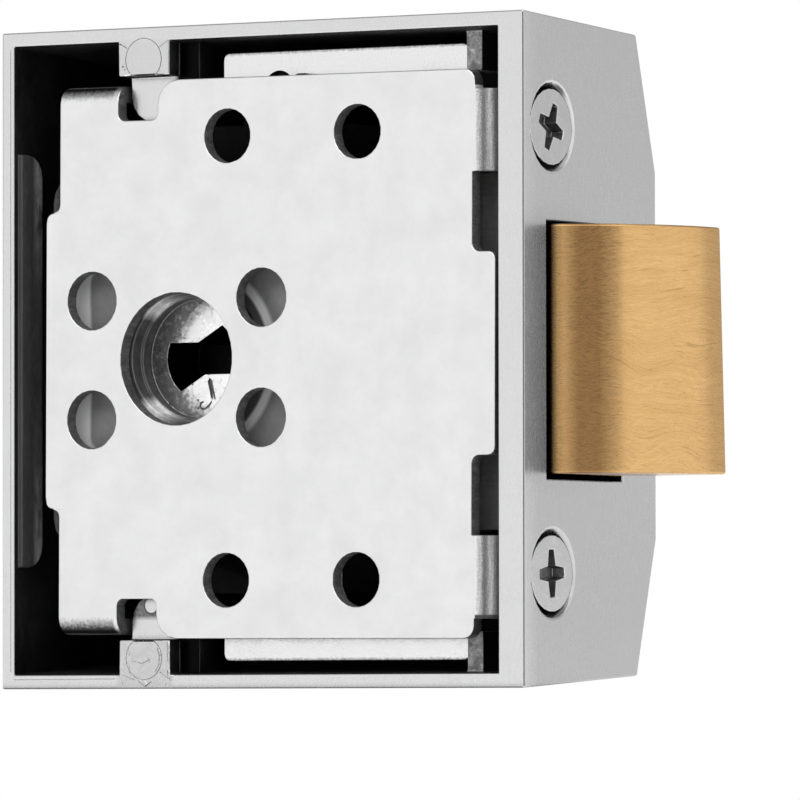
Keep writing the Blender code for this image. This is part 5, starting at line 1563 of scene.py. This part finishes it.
@dataclass
class LockCase:
    """Die-cast case with its square forend, lugs and posts."""

    half_height: float = 0.0325
    back_x: float = -0.0404
    roof_y: float = 0.0250
    corner_y: float = 0.0213
    facet_half: float = 0.0179
    skin: float = 0.0004
    forend_wall: float = 0.0029
    rim_y: float = 0.0020
    pad_x: Flat = (-0.03892, -0.0383)
    pad_y: Flat = (0.0004, 0.0044)
    pad_half: float = 0.0204
    pad_corner_up: Flat = (0.0035, 0.0174)
    pad_corner_low: Flat = (0.0035, -0.0190)
    draft: float = 0.05
    facing: float = 0.5
    post_x: Flat = (0.0115, 0.0142)
    post_depth: float = 0.0160
    post_gap: float = 0.0016
    post_facing: float = 0.6
    plug_x: float = -0.0236
    plug_z: Flat = (0.0293, -0.0295)
    plug_radius: float = 0.00205
    plug_groove: float = 0.00008
    plug_sides: int = 56
    groove_out: float = -0.0005
    groove_depth: float = 0.00012
    edge_radius: float = 0.00018
    scores: Tuple[Tuple[Flat, Flat, float], ...] = (
        ((-0.03935, 0.0308), (-0.03935, -0.0308), 0.00007),
        ((-0.0390, -0.03155), (-0.0270, -0.03150), 0.00007),
        ((-0.02185, 0.03040), (-0.02060, 0.03118), 0.00008),
        ((-0.02640, 0.03095), (-0.02552, 0.03045), 0.00007),
        ((-0.02085, -0.02790), (-0.02080, -0.03120), 0.00010),
        ((-0.02170, -0.03085), (-0.02040, -0.03170), 0.00012),
        ((-0.02620, -0.03110), (-0.02470, -0.03160), 0.00007),
        ((-0.02478, -0.02978), (-0.02382, -0.03000), 0.00010),
        ((-0.02382, -0.03000), (-0.02286, -0.02962), 0.00010),
        ((-0.02205, -0.02845), (-0.02178, -0.02925), 0.00012),
        ((-0.02178, -0.02925), (-0.02184, -0.03012), 0.00016),
        ((-0.02184, -0.03012), (-0.02225, -0.03082), 0.00012),
        ((-0.02425, -0.03168), (-0.02350, -0.03228), 0.00009),
        ((-0.02350, -0.03228), (-0.02272, -0.03178), 0.00009),
    )
    score_depth: float = 0.00014

    def blunt(self, place: Vector) -> Vector:
        """Cuts the pad's two deep corners back.

        Args:
            place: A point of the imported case.

        Returns:
            The point on the blunted case.
        """
        low, high = self.pad_x
        deep = self.pad_y[1] - self.skin < place.y < self.pad_y[1] + self.skin
        at_wall = low - self.skin < place.x < high + self.skin
        if deep and at_wall and abs(abs(place.z) - self.pad_half) < self.skin:
            y, z = self.pad_corner_up if place.z > 0 else self.pad_corner_low
            place.x -= self.draft * (place.y - y)
            place.y, place.z = y, z
        return place

    def surface(self, middle: Vector, normal: Vector) -> int:
        """Tells a face of the plated outside from the cast inside.

        Args:
            middle: The face's middle.
            normal: Its normal.

        Returns:
            0 outside, 1 inside, 2 on the rough posts and 3 on the pad in the back wall.
        """
        slope = (self.roof_y - self.corner_y) / (self.half_height - self.facet_half)
        roof = self.roof_y - max(0.0, abs(middle.z) - self.facet_half) * slope
        draft = self.draft * middle.y
        wall, back = self.half_height - draft - abs(middle.z), middle.x - self.back_x - draft
        if middle.x > FOREND_X - self.forend_wall + self.skin / 2:
            return 0
        on_pad = self.pad_x[0] < middle.x < self.pad_x[1]
        on_pad = on_pad and abs(middle.z) < self.pad_half + self.skin
        if on_pad and self.pad_y[0] < middle.y < self.pad_y[1] and normal.y > -self.facing:
            return 3
        if on_pad and normal.y < -self.facing:
            return 1
        on_post = self.post_x[0] < middle.x < self.post_x[1] and middle.y < self.post_depth
        if on_post and abs(middle.z) < self.half_height - self.post_gap:
            return 1 if normal.x > self.post_facing else 2
        on_skin = min(roof - middle.y, wall, back) < self.skin
        return 0 if on_skin or (middle.y < self.rim_y and normal.y < -self.facing) else 1

    def mark(self, made: bpy.types.Object) -> None:
        """Cuts the fine ring round the plug in each lug, and the scored lines.

        Args:
            made: The case.
        """
        radii = (self.plug_radius, self.plug_radius + self.plug_groove)
        section = [(radii[0], self.groove_out), (radii[1], self.groove_out)]
        section += [(radii[1], self.groove_depth), (radii[0], self.groove_depth), section[0]]
        for z in self.plug_z:
            tool = Shape()
            centre, sides = (self.plug_x, z), self.plug_sides
            tool.rings([tool.circle(centre, r, y, sides) for r, y in section], closed=False)
            bmesh.ops.remove_doubles(tool.mesh, verts=tool.mesh.verts, dist=SEAM_DISTANCE)
            carve(made, tool)
        for start, end, width in self.scores:
            tool = Shape()
            tool.groove(start, end, width, self.score_depth)
            carve(made, tool)

    def build(self) -> None:
        """Makes the case."""
        shape = Shape.of_node("case")
        shape.move(self.blunt)
        shape.piece(
            "case_shell", (CHROME, CASE_INSIDE_SHADE, CAST_POST, CASE_PAD), Body.CASE, ("case",),
            Slot.CHROME, choose=self.surface, round_edges=self.edge_radius, extra=self.mark,
        )


@dataclass
class MountingPlate:
    """Nickel-plated sheet that screws to the cylinder, with bent ears and legs.

    It lies a little low and turned within its play in the case.
    """

    edge_radius: float = 0.00014
    leg_x: float = 0.0141
    leg_low_z: float = 0.0165
    leg_facing: float = 0.05
    face_y: float = 0.0004
    edge_facing: float = 0.25
    play: Flat = (0.00016, -0.00023)
    play_turn: float = math.radians(0.26)
    pivot_x: float = -0.0110
    left_x: float = -0.0340
    left_play: float = 0.00016

    def surface(self, middle: Vector, normal: Vector) -> int:
        """Tells the brushed legs and the sheared edges from the rest of the sheet.

        Args:
            middle: The face's middle.
            normal: Its normal.

        Returns:
            1 on the legs, 2 on a sheared edge and 0 elsewhere.
        """
        on_leg = middle.x > self.leg_x and abs(middle.z) > self.leg_low_z
        if on_leg and normal.x > self.leg_facing:
            return 1
        return 2 if abs(normal.y) < self.edge_facing and middle.y > self.face_y else 0

    def lie(self, place: Vector) -> Vector:
        """Where a point of the sheet lies within its play.

        Args:
            place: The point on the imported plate.

        Returns:
            The point as it lies.
        """
        x, z = place.x - self.pivot_x - self.left_play * (place.x < self.left_x), place.z
        turned_x = x * math.cos(self.play_turn) + z * math.sin(self.play_turn)
        turned_z = z * math.cos(self.play_turn) - x * math.sin(self.play_turn)
        return Vector((turned_x + self.pivot_x + self.play[0], place.y, turned_z + self.play[1]))

    def build(self) -> None:
        """Makes the plate."""
        shape = Shape.of_node("mounting_plate")
        shape.move(self.lie)
        shape.piece(
            "mounting_plate_sheet", (SHEET, SHEET_LEG, SHEARED), Body.CASE, ("mounting_plate",),
            Slot.SHEET, choose=self.surface, round_edges=self.edge_radius,
        )


@dataclass
class CoverPlate:
    """Inner cover with its four screws, seen past the mounting plate's edges."""

    edge_radius: float = 0.00022
    hole_x: float = -0.0098
    hole_z: float = 0.0262
    hole_radius: float = 0.0017
    hole_y: Flat = (0.0020, 0.0060)
    screws: Tuple[str, ...] = ("upper_front", "lower_front", "upper_rear", "lower_rear")

    def pierce(self, made: bpy.types.Object) -> None:
        """Cuts the fixing hole whose top shows past the mounting plate's edge.

        Args:
            made: The cover.
        """
        tool = Shape()
        tool.rod((self.hole_x, self.hole_z), self.hole_radius, self.hole_y)
        carve(made, tool)

    def build(self) -> None:
        """Makes the cover and dresses its screws."""
        Shape.of_node("cover_plate").piece(
            "cover_plate_sheet", (COVER_SHEET,), Body.CASE, ("cover_plate",), Slot.BRIGHT,
            round_edges=self.edge_radius, extra=self.pierce,
        )
        for word in self.screws:
            # The screws take a near black colour of painted shade.
            dress("cover_screw_" + word, SCREW_IN_PAINTED_SHADE)


@dataclass
class ForendScrews:
    """The two cross-recessed screws in the forend's oval countersinks."""

    edge_radius: float = 0.00009
    middle_y: float = 0.0054
    head_x: float = 0.0196
    head_radius: float = 0.0036
    middle_z: float = 0.0215
    spread: Flat = (1.085, 1.02)
    recess_x: Flat = (0.0165, 0.0197)
    recess_reach: float = 0.0023

    def fill(self, place: Vector) -> Vector:
        """Widens the head's rim to the countersink's sides.

        Args:
            place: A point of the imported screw.

        Returns:
            The point on the wider head.
        """
        across = place.y - self.middle_y
        rim = math.hypot(across, abs(place.z) - self.middle_z) > self.head_radius
        if place.x > self.head_x and rim:
            place.y = self.middle_y + across * self.spread[across > 0]
        return place

    def surface(self, middle: Vector, normal: Vector) -> int:
        """Tells the cross recess from the rest of the screw.

        Args:
            middle: The face's middle.
            normal: Its normal.

        Returns:
            1 in the recess and 0 elsewhere.
        """
        reach = math.hypot(middle.y - self.middle_y, abs(middle.z) - self.middle_z)
        deep = self.recess_x[0] < middle.x < self.recess_x[1]
        return int(deep and reach < self.recess_reach)

    def build(self) -> None:
        """Makes both screws."""
        for word in ("upper", "lower"):
            node = "forend_screw_" + word
            shape = Shape.of_node(node)
            shape.move(self.fill)
            shape.piece(
                node + "_head", (SCREW_STEEL, RECESS), Body.CASE, (node,), Slot.BRIGHT,
                choose=self.surface, round_edges=self.edge_radius,
            )


@dataclass
class LatchBolt:
    """Brass bolt head on its pressed carriage, with its nose worn to a lean."""

    edge_radius: float = 0.00025
    carriage_edge: float = 0.00015
    nose_start: float = 0.0210
    nose_end: float = 0.0315
    half_height: float = 0.0119
    lean: Flat = (-0.00020, 0.00042)
    rise: Flat = (0.00022, 0.00012)

    def wear(self, place: Vector) -> Vector:
        """Leans the nose's end back at its top.

        Args:
            place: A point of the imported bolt.

        Returns:
            The point on the worn bolt.
        """
        out = max(0.0, (place.x - self.nose_start) / (self.nose_end - self.nose_start))
        fall = (self.half_height - place.z) / (2 * self.half_height)
        place.x += out * (self.lean[0] + (self.lean[1] - self.lean[0]) * fall)
        rise = self.rise[0] + (self.rise[1] - self.rise[0]) * out
        place.z += rise * max(0.0, place.z / self.half_height)
        return place

    def build(self) -> None:
        """Makes the bolt head and the carriage, and dresses the rivets."""
        head = Shape.of_node("bolt_head")
        head.move(self.wear)
        head.piece(
            "bolt_head_brass", (BRASS,), Body.BOLT, ("bolt_head",), Slot.BRASS,
            round_edges=self.edge_radius, segments=3,
        )
        Shape.of_node("bolt_carriage").piece(
            "bolt_carriage_pressing", (DARK,), Body.BOLT, ("bolt_carriage",), Slot.DARK,
            round_edges=self.carriage_edge,
        )
        for word in ("upper", "lower"):
            dress("bolt_rivet_" + word, SCREW_STEEL)


@dataclass
class BoltSprings:
    """The two coil springs behind the bolt and their guide rods."""

    start_x: float = -0.03625
    end_x: float = 0.01165
    y: float = 0.0136
    z: float = 0.0080
    mean_radius: float = 0.0023
    wire_radius: float = 0.00034
    turns: int = 14
    steps: int = 26
    closed_turns: float = 1.25
    closed_pitch: float = 2.3
    travel: float = 0.0115
    rod_edge: float = 0.00008

    def coil(self, side: int) -> List[Vector]:
        """Middle line of one spring, with its end turns closed.

        Args:
            side: 1 for the upper spring and -1 for the lower.

        Returns:
            Points along the wire.
        """
        count = self.turns * self.steps
        length = self.end_x - self.start_x
        shut = self.closed_turns * self.wire_radius * self.closed_pitch
        points = []
        for i in range(count + 1):
            turn = i / self.steps
            if turn < self.closed_turns:
                along = shut * turn / self.closed_turns
            elif turn > self.turns - self.closed_turns:
                along = length - shut * (self.turns - turn) / self.closed_turns
            else:
                share = (turn - self.closed_turns) / (self.turns - 2 * self.closed_turns)
                along = shut + (length - 2 * shut) * share
            angle = math.tau * turn
            points.append(Vector((
                self.start_x + along,
                self.y + self.mean_radius * math.cos(angle),
                side * self.z + self.mean_radius * math.sin(angle),
            )))
        return points

    def build(self) -> None:
        """Makes both springs and dresses their rods."""
        for word, side in (("upper", 1), ("lower", -1)):
            shape = Shape()
            shape.tube(self.coil(side), self.wire_radius)
            node = "bolt_spring_" + word
            made = shape.piece(node + "_coil", (SPRING,), Body.CASE, (node,), Slot.SPRING)
            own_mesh(made)
            dress("guide_rod_" + word, SCREW_STEEL, self.rod_edge)


@dataclass
class ReturnSpring:
    """Torsion spring that turns the hub back.

    Its leg rests in the case and its end turns with the cam.
    """

    coil_radius: float = 0.0050
    wire_radius: float = 0.0004
    start_y: float = 0.0113
    end_y: float = 0.0102
    hole_y: float = 0.0079
    hole_reach: float = 0.0069
    hole_angle: float = math.radians(150)
    leg_length: float = 0.0105
    steps: int = 90

    def path(self) -> List[Vector]:
        """Lays the middle line of the wire, from the leg to the bent end.

        Returns:
            Points along the wire.
        """
        hole_x = HUB_X + self.hole_reach * math.cos(self.hole_angle)
        hole_z = self.hole_reach * math.sin(self.hole_angle)
        first = -math.pi / 2
        last = self.hole_angle - math.acos(self.coil_radius / self.hole_reach) + math.tau
        points = [Vector((HUB_X - self.leg_length, self.start_y, -self.coil_radius))]
        for i in range(self.steps + 1):
            share = i / self.steps
            angle = first + (last - first) * share
            points.append(Vector((
                HUB_X + self.coil_radius * math.cos(angle),
                self.start_y + (self.end_y - self.start_y) * share,
                self.coil_radius * math.sin(angle),
            )))
        points.append(Vector((hole_x, self.end_y, hole_z)))
        points.append(Vector((hole_x, self.hole_y, hole_z)))
        return points

    def build(self) -> None:
        """Makes the spring."""
        shape = Shape()
        shape.tube(self.path(), self.wire_radius)
        made = shape.piece(
            "hub_return_spring_wire", (SPRING,), None, ("hub_return_spring",), Slot.SPRING
        )
        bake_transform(made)


@dataclass
class TurnHub:
    """Follower, cam, spindle and knob, which turn together."""

    face_y: float = 0.0049
    slot_reach: float = 0.00405
    slot_end_y: float = 0.0112
    slot_lip: float = 0.0003
    bowl_lip: float = 0.0001
    edge_radius: float = 0.00010
    fine_edges: Flat = (0.00006, 0.00008)
    mark: Tuple[Tuple[Flat, ...], ...] = (
        (
            (-0.01883, -0.00390), (-0.01918, -0.00228), (-0.01905, -0.00204),
            (-0.01886, -0.00220), (-0.01842, -0.00405),
        ),
        (
            (-0.01975, -0.00425), (-0.02008, -0.00440), (-0.02018, -0.00472), (-0.01995, -0.00498),
            (-0.01955, -0.00495), (-0.01915, -0.00470), (-0.01882, -0.00425),
        ),
    )
    mark_width: float = 0.00025
    mark_taper: float = 0.55
    mark_out: float = 0.0004
    mark_depth: float = 0.00012
    knob_base: float = 0.0259
    knob_height: float = 0.0165
    knob_radius: float = 0.0150
    neck_radius: float = 0.0072
    neck_lip: Tuple[Flat, ...] = ((-0.0003, 0.0), (-0.0001, 0.0001), (0.0, 0.0003))
    flare: Tuple[Flat, ...] = (
        (1.0, 0.10), (1.0, 0.20), (1.03, 0.28), (1.10, 0.36), (1.23, 0.43), (1.43, 0.50),
        (1.64, 0.56), (1.85, 0.62),
    )
    crown: Tuple[Place, ...] = (
        (0.94, 0.655, 0.2), (0.975, 0.685, 0.7), (0.992, 0.715, 1.0), (1.0, 0.745, 1.0),
        (1.0, 0.82, 1.0), (1.0, 0.90, 1.0), (0.994, 0.93, 1.0), (0.975, 0.965, 1.0),
        (0.95, 0.985, 0.6), (0.92, 0.997, 0.1), (0.90, 1.0, 0.0), (0.87, 0.998, 0.0),
        (0.83, 0.989, 0.0), (0.78, 0.976, 0.0), (0.66, 0.957, 0.0), (0.5, 0.940, 0.0),
        (0.3, 0.930, 0.0), (0.06, 0.927, 0.0),
    )
    flutes: int = 16
    flute_depth: float = 0.0004
    flute_round: float = 0.7
    bore_radius: float = 0.0038
    bore_depth: float = 0.0100
    bore_lip: float = 0.0002
    knob_segments: int = 192

    def knob_profile(self) -> List[Place]:
        """Lays the rings of the knob, from its bore outwards.

        Returns:
            Radius, height and share of flute of each ring.
        """
        base, neck, height = self.knob_base, self.neck_radius, self.knob_height
        rows = [
            (self.bore_radius, base + self.bore_depth, 0.0),
            (self.bore_radius, base + self.bore_lip, 0.0),
            (self.bore_radius + self.bore_lip, base, 0.0),
        ]
        rows += [(neck + out, base + up, 0.0) for out, up in self.neck_lip]
        rows += [(neck * reach, base + height * up, 0.0) for reach, up in self.flare]
        return rows + [(self.knob_radius * r, base + height * up, f) for r, up, f in self.crown]

    def make_knob(self) -> None:
        """Makes the flared knob with its fluted rim."""
        rows = []
        for radius, y, share in self.knob_profile():
            row = []
            for i in range(self.knob_segments):
                angle = math.tau * i / self.knob_segments
                wave = (1 - math.cos(self.flutes * angle)) / 2
                reach = radius - self.flute_depth * share * wave ** self.flute_round
                row.append(Vector((HUB_X + reach * math.cos(angle), y, reach * math.sin(angle))))
            rows.append(row)
        shape = Shape()
        shape.rings(rows)
        shape.piece("turn_knob_turned", (KNOB_CHROME,), Body.HUB, ("turn_knob",), Slot.CHROME)

    def slot_surface(self, middle: Vector, normal: Vector) -> int:
        """Tells the follower's bow-tie slot and its bowl from its face.

        Args:
            middle: The face's middle.
            normal: Its normal.

        Returns:
            1 in the slot, 2 in the bowl and on its lip, and 0 elsewhere.
        """
        reach = math.hypot(middle.x - HUB_X, middle.z)
        deep = self.face_y + self.slot_lip < middle.y < self.slot_end_y
        if reach < self.slot_reach and deep:
            return 1
        return 2 if middle.y < self.face_y - self.bowl_lip else 0

    def cut_mark(self, made: bpy.types.Object) -> None:
        """Cuts the index stroke with its small hook in the follower's lower face.

        Args:
            made: The follower.
        """
        span = (self.face_y - self.mark_out, self.face_y + self.mark_depth)
        for points in self.mark:
            tool = Shape()
            tool.rings([[Vector((x, y, z)) for x, z in self.outline(points)] for y in span])
            carve(made, tool)

    def outline(self, points: Sequence[Flat]) -> List[Flat]:
        """Outline of a stroke of the mark's width round a short path.

        Args:
            points: The path's points along X and Z.

        Returns:
            The outline's points.
        """
        half = self.mark_width / 2
        there, back = [], []
        for i, point in enumerate(points):
            before, after = points[max(i - 1, 0)], points[min(i + 1, len(points) - 1)]
            ahead = Vector((after[0] - before[0], after[1] - before[1])).normalized()
            share = self.mark_taper if i in (0, len(points) - 1) else 1.0
            across = Vector((-ahead.y, ahead.x)) * half * share
            there.append((point[0] + across.x, point[1] + across.y))
            back.append((point[0] - across.x, point[1] - across.y))
        return there + back[::-1]

    def build(self) -> None:
        """Makes the knob and the follower, and dresses the rest."""
        Shape.of_node("follower").piece(
            "follower_turned", (HUB_FACE, SLOT_DARK, BOWL), Body.HUB, ("follower",), Slot.BRIGHT,
            choose=self.slot_surface, round_edges=self.edge_radius, extra=self.cut_mark,
        )
        self.make_knob()
        dress("drive_cam", DARK)
        dress("knob_spindle", TURNED)
        dress("spindle_clip", SPRING, self.fine_edges[0])
        dress("knob_grub_screw", SPRING, self.fine_edges[1])
        dress("knob_bush", BUSH)
        dress("knob_washer", NYLON, self.fine_edges[1])


@dataclass
class Snib:
    """Hold-back slide with its thumb button, and the forked spring that holds it at either end.

    The spring's two arms pass the button's stem on either side, and each has a bump that
    drops into the slide's dimples.
    """

    middle_x: float = 0.0022
    leaf_y: float = 0.02155
    leaf_thickness: float = 0.0003
    leaf_columns: Tuple[float, ...] = (-0.0032, -0.00205, 0.00205, 0.0032)
    root_z: Flat = (-0.0095, -0.0052)
    yoke_z: float = -0.0042
    arm_end_z: float = 0.0045
    arm_steps: int = 58
    bump_z: float = 0.0030
    bump_half: float = 0.0009
    bump_depth: float = 0.00088
    rivet_z: float = -0.0070
    hole_radius: float = 0.0012
    button_edge: float = 0.00025

    def leaf_height(self, z: float) -> float:
        """Where the spring's middle lies along Y at a place along its length."""
        away = min(1.0, abs(z - self.bump_z) / self.bump_half)
        return self.leaf_y - self.bump_depth * (1 + math.cos(math.pi * away)) / 2

    def leaf(self) -> Shape:
        """Lays the spring's sheet: its root, the yoke and the two arms.

        Returns:
            The sheet without its thickness.
        """
        arm, steps = self.arm_end_z - self.yoke_z, self.arm_steps
        rows = [*self.root_z, *(self.yoke_z + arm * i / steps for i in range(steps + 1))]
        shape = Shape()
        for low, high in zip(rows, rows[1:]):
            for number, (left, right) in enumerate(zip(self.leaf_columns, self.leaf_columns[1:])):
                if (high <= self.yoke_z) if number == 1 else (low >= self.root_z[1]):
                    corners = ((left, low), (right, low), (right, high), (left, high))
                    shape.mesh.faces.new([
                        shape.mesh.verts.new((self.middle_x + x, self.leaf_height(z), z))
                        for x, z in corners
                    ])
        bmesh.ops.remove_doubles(shape.mesh, verts=shape.mesh.verts, dist=MERGE_DISTANCE)
        return shape

    def thicken(self, made: bpy.types.Object) -> None:
        """Gives the spring its thickness and its rivet's hole.

        Args:
            made: The spring.
        """
        step = made.modifiers.new("sheet_thickness", "SOLIDIFY")
        step.thickness = self.leaf_thickness
        step.offset = 0.0
        settle(made)
        tool = Shape()
        reach = self.leaf_thickness * 2
        span = (self.leaf_y - reach, self.leaf_y + reach)
        tool.rod((self.middle_x, self.rivet_z), self.hole_radius, span)
        carve(made, tool)

    def build(self) -> None:
        """Makes the spring and dresses the snib's other pieces."""
        dress("snib_button", CHROME, self.button_edge)
        dress("snib_slide", DARK)
        dress("snib_rivet", SCREW_STEEL)
        self.leaf().piece(
            "snib_leaf_spring_fork", (SPRING,), Body.CASE, ("snib_leaf_spring",), Slot.SPRING,
            extra=self.thicken,
        )
        dress("leaf_rivet", SCREW_STEEL)


@dataclass(frozen=True)
class Softbox:
    """A large soft lamp: where it stands, its side and how bright it looks."""

    name: str
    place: Place
    side: float
    level: float

    def build(self) -> None:
        """Hangs the lamp, aimed at the lock."""
        data = bpy.data.lights.new(self.name, "AREA")
        data.shape = "SQUARE"
        data.size = self.side
        data.energy = self.level * math.pi * self.side ** 2
        made = stand(self.name, data)
        aim(made, self.place, -Vector(self.place))
        made.visible_camera = False


@dataclass
class Studio:
    """Pale floor, pale surroundings and large soft lamps."""

    floor_z: float = -0.0325
    floor_half: float = 3.0
    floor_colour: Tuple[float, ...] = (0.93, 0.93, 0.93, 1.0)
    floor_roughness: float = 0.85
    floor_lift: float = 0.28
    floor_fade: Flat = (170.0, 700.0)
    white: Tuple[float, ...] = (1.0, 1.0, 1.0, 1.0)
    world_level: float = 0.38
    lamps: Tuple[Softbox, ...] = (
        Softbox("front_left_softbox", (-1.72, -1.81, 0.20), 3.1, 0.62),
        Softbox("front_top_softbox", (0.52, -1.80, 1.75), 2.4, 1.80),
        Softbox("right_softbox", (2.05, -0.11, 0.25), 3.4, 0.66),
        Softbox("back_right_softbox", (1.20, 2.15, 0.45), 2.4, 0.24),
        Softbox("back_left_softbox", (-2.10, 1.30, 0.70), 2.2, 0.30),
        Softbox("top_softbox", (0.20, -0.10, 2.4), 2.6, 0.36),
    )

    def floor(self) -> None:
        """Makes the floor, which a camera below it sees through."""
        shape, half = Shape(), self.floor_half
        corners = ((-half, -half), (half, -half), (half, half), (-half, half))
        shape.mesh.faces.new([shape.mesh.verts.new((x, y, self.floor_z)) for x, y in corners])
        made = stand("floor", shape.data("floor"))
        paint = bpy.data.materials.new("pale_floor")
        paint.use_nodes = True
        graph = Graph(paint.node_tree)
        skin = {"Base Color": self.floor_colour, "Roughness": self.floor_roughness}
        matt = graph.add("BsdfPrincipled", skin)
        rays = graph.add("LightPath").outputs
        away = graph.vector("LENGTH", graph.millimetres())
        fade = graph.spread(away, *self.floor_fade, (self.floor_lift, 1.0))
        seen = graph.times(rays["Is Camera Ray"], fade)
        mirrored = graph.times(rays["Is Glossy Ray"], self.floor_lift)
        glow = {"Color": self.white, "Strength": graph.math("MAXIMUM", seen, mirrored)}
        lift = graph.add("Emission", glow)
        pale = graph.add("AddShader", {0: matt.outputs[0], 1: lift.outputs[0]})
        clear = graph.add("BsdfTransparent")
        behind = graph.add("NewGeometry").outputs["Backfacing"]
        mix = graph.add("MixShader", {0: behind, 1: pale.outputs[0], 2: clear.outputs[0]})
        graph.add("OutputMaterial", {"Surface": mix.outputs[0]})
        made.data.materials.append(paint)

    def world(self) -> None:
        """Makes the surroundings, white to the camera and softer as a light."""
        made = bpy.data.worlds.new("studio")
        made.use_nodes = True
        bpy.context.scene.world = made
        graph = Graph(made.node_tree)
        seen = graph.add("LightPath").outputs["Is Camera Ray"]
        level = graph.plus(graph.times(seen, 1 - self.world_level), self.world_level)
        back = graph.add("Background", {"Color": self.white, "Strength": level})
        graph.add("OutputWorld", {"Surface": back.outputs[0]})

    def build(self) -> None:
        """Makes the whole studio."""
        self.floor()
        self.world()
        for lamp in self.lamps:
            lamp.build()
        LOG.info("studio: %d lamps", len(self.lamps))


@dataclass
class ProductCamera:
    """Long lens, a little below the lock's middle and to the right of the door side."""

    place: Place = (0.49947, -0.79187, -0.03495)
    forward: Place = (-0.52860, 0.84830, 0.03240)
    lens: float = 435.4
    sensor: float = 36.0
    roll: float = math.radians(-0.079)
    clip: Flat = (0.01, 20.0)

    def build(self) -> None:
        """Makes the camera and gives it to the scene."""
        data = bpy.data.cameras.new("product_camera")
        data.lens = self.lens
        data.sensor_width = self.sensor
        data.clip_start, data.clip_end = self.clip
        made = stand("product_camera", data)
        aim(made, self.place, Vector(self.forward), self.roll)
        bpy.context.scene.camera = made
        LOG.info("camera: %.1f mm lens", self.lens)


def main() -> None:
    """Builds the scene in order."""
    logging.basicConfig(level=logging.INFO, format="%(name)s: %(message)s")
    bpy.context.scene.view_settings.view_transform = "Standard"
    ProductCamera().build()
    Studio().build()
    for part in (
        LockCase(), MountingPlate(), CoverPlate(), ForendScrews(), LatchBolt(),
        BoltSprings(), ReturnSpring(), TurnHub(), Snib(),
    ):
        part.build()


if __name__ == "__main__":
    main()
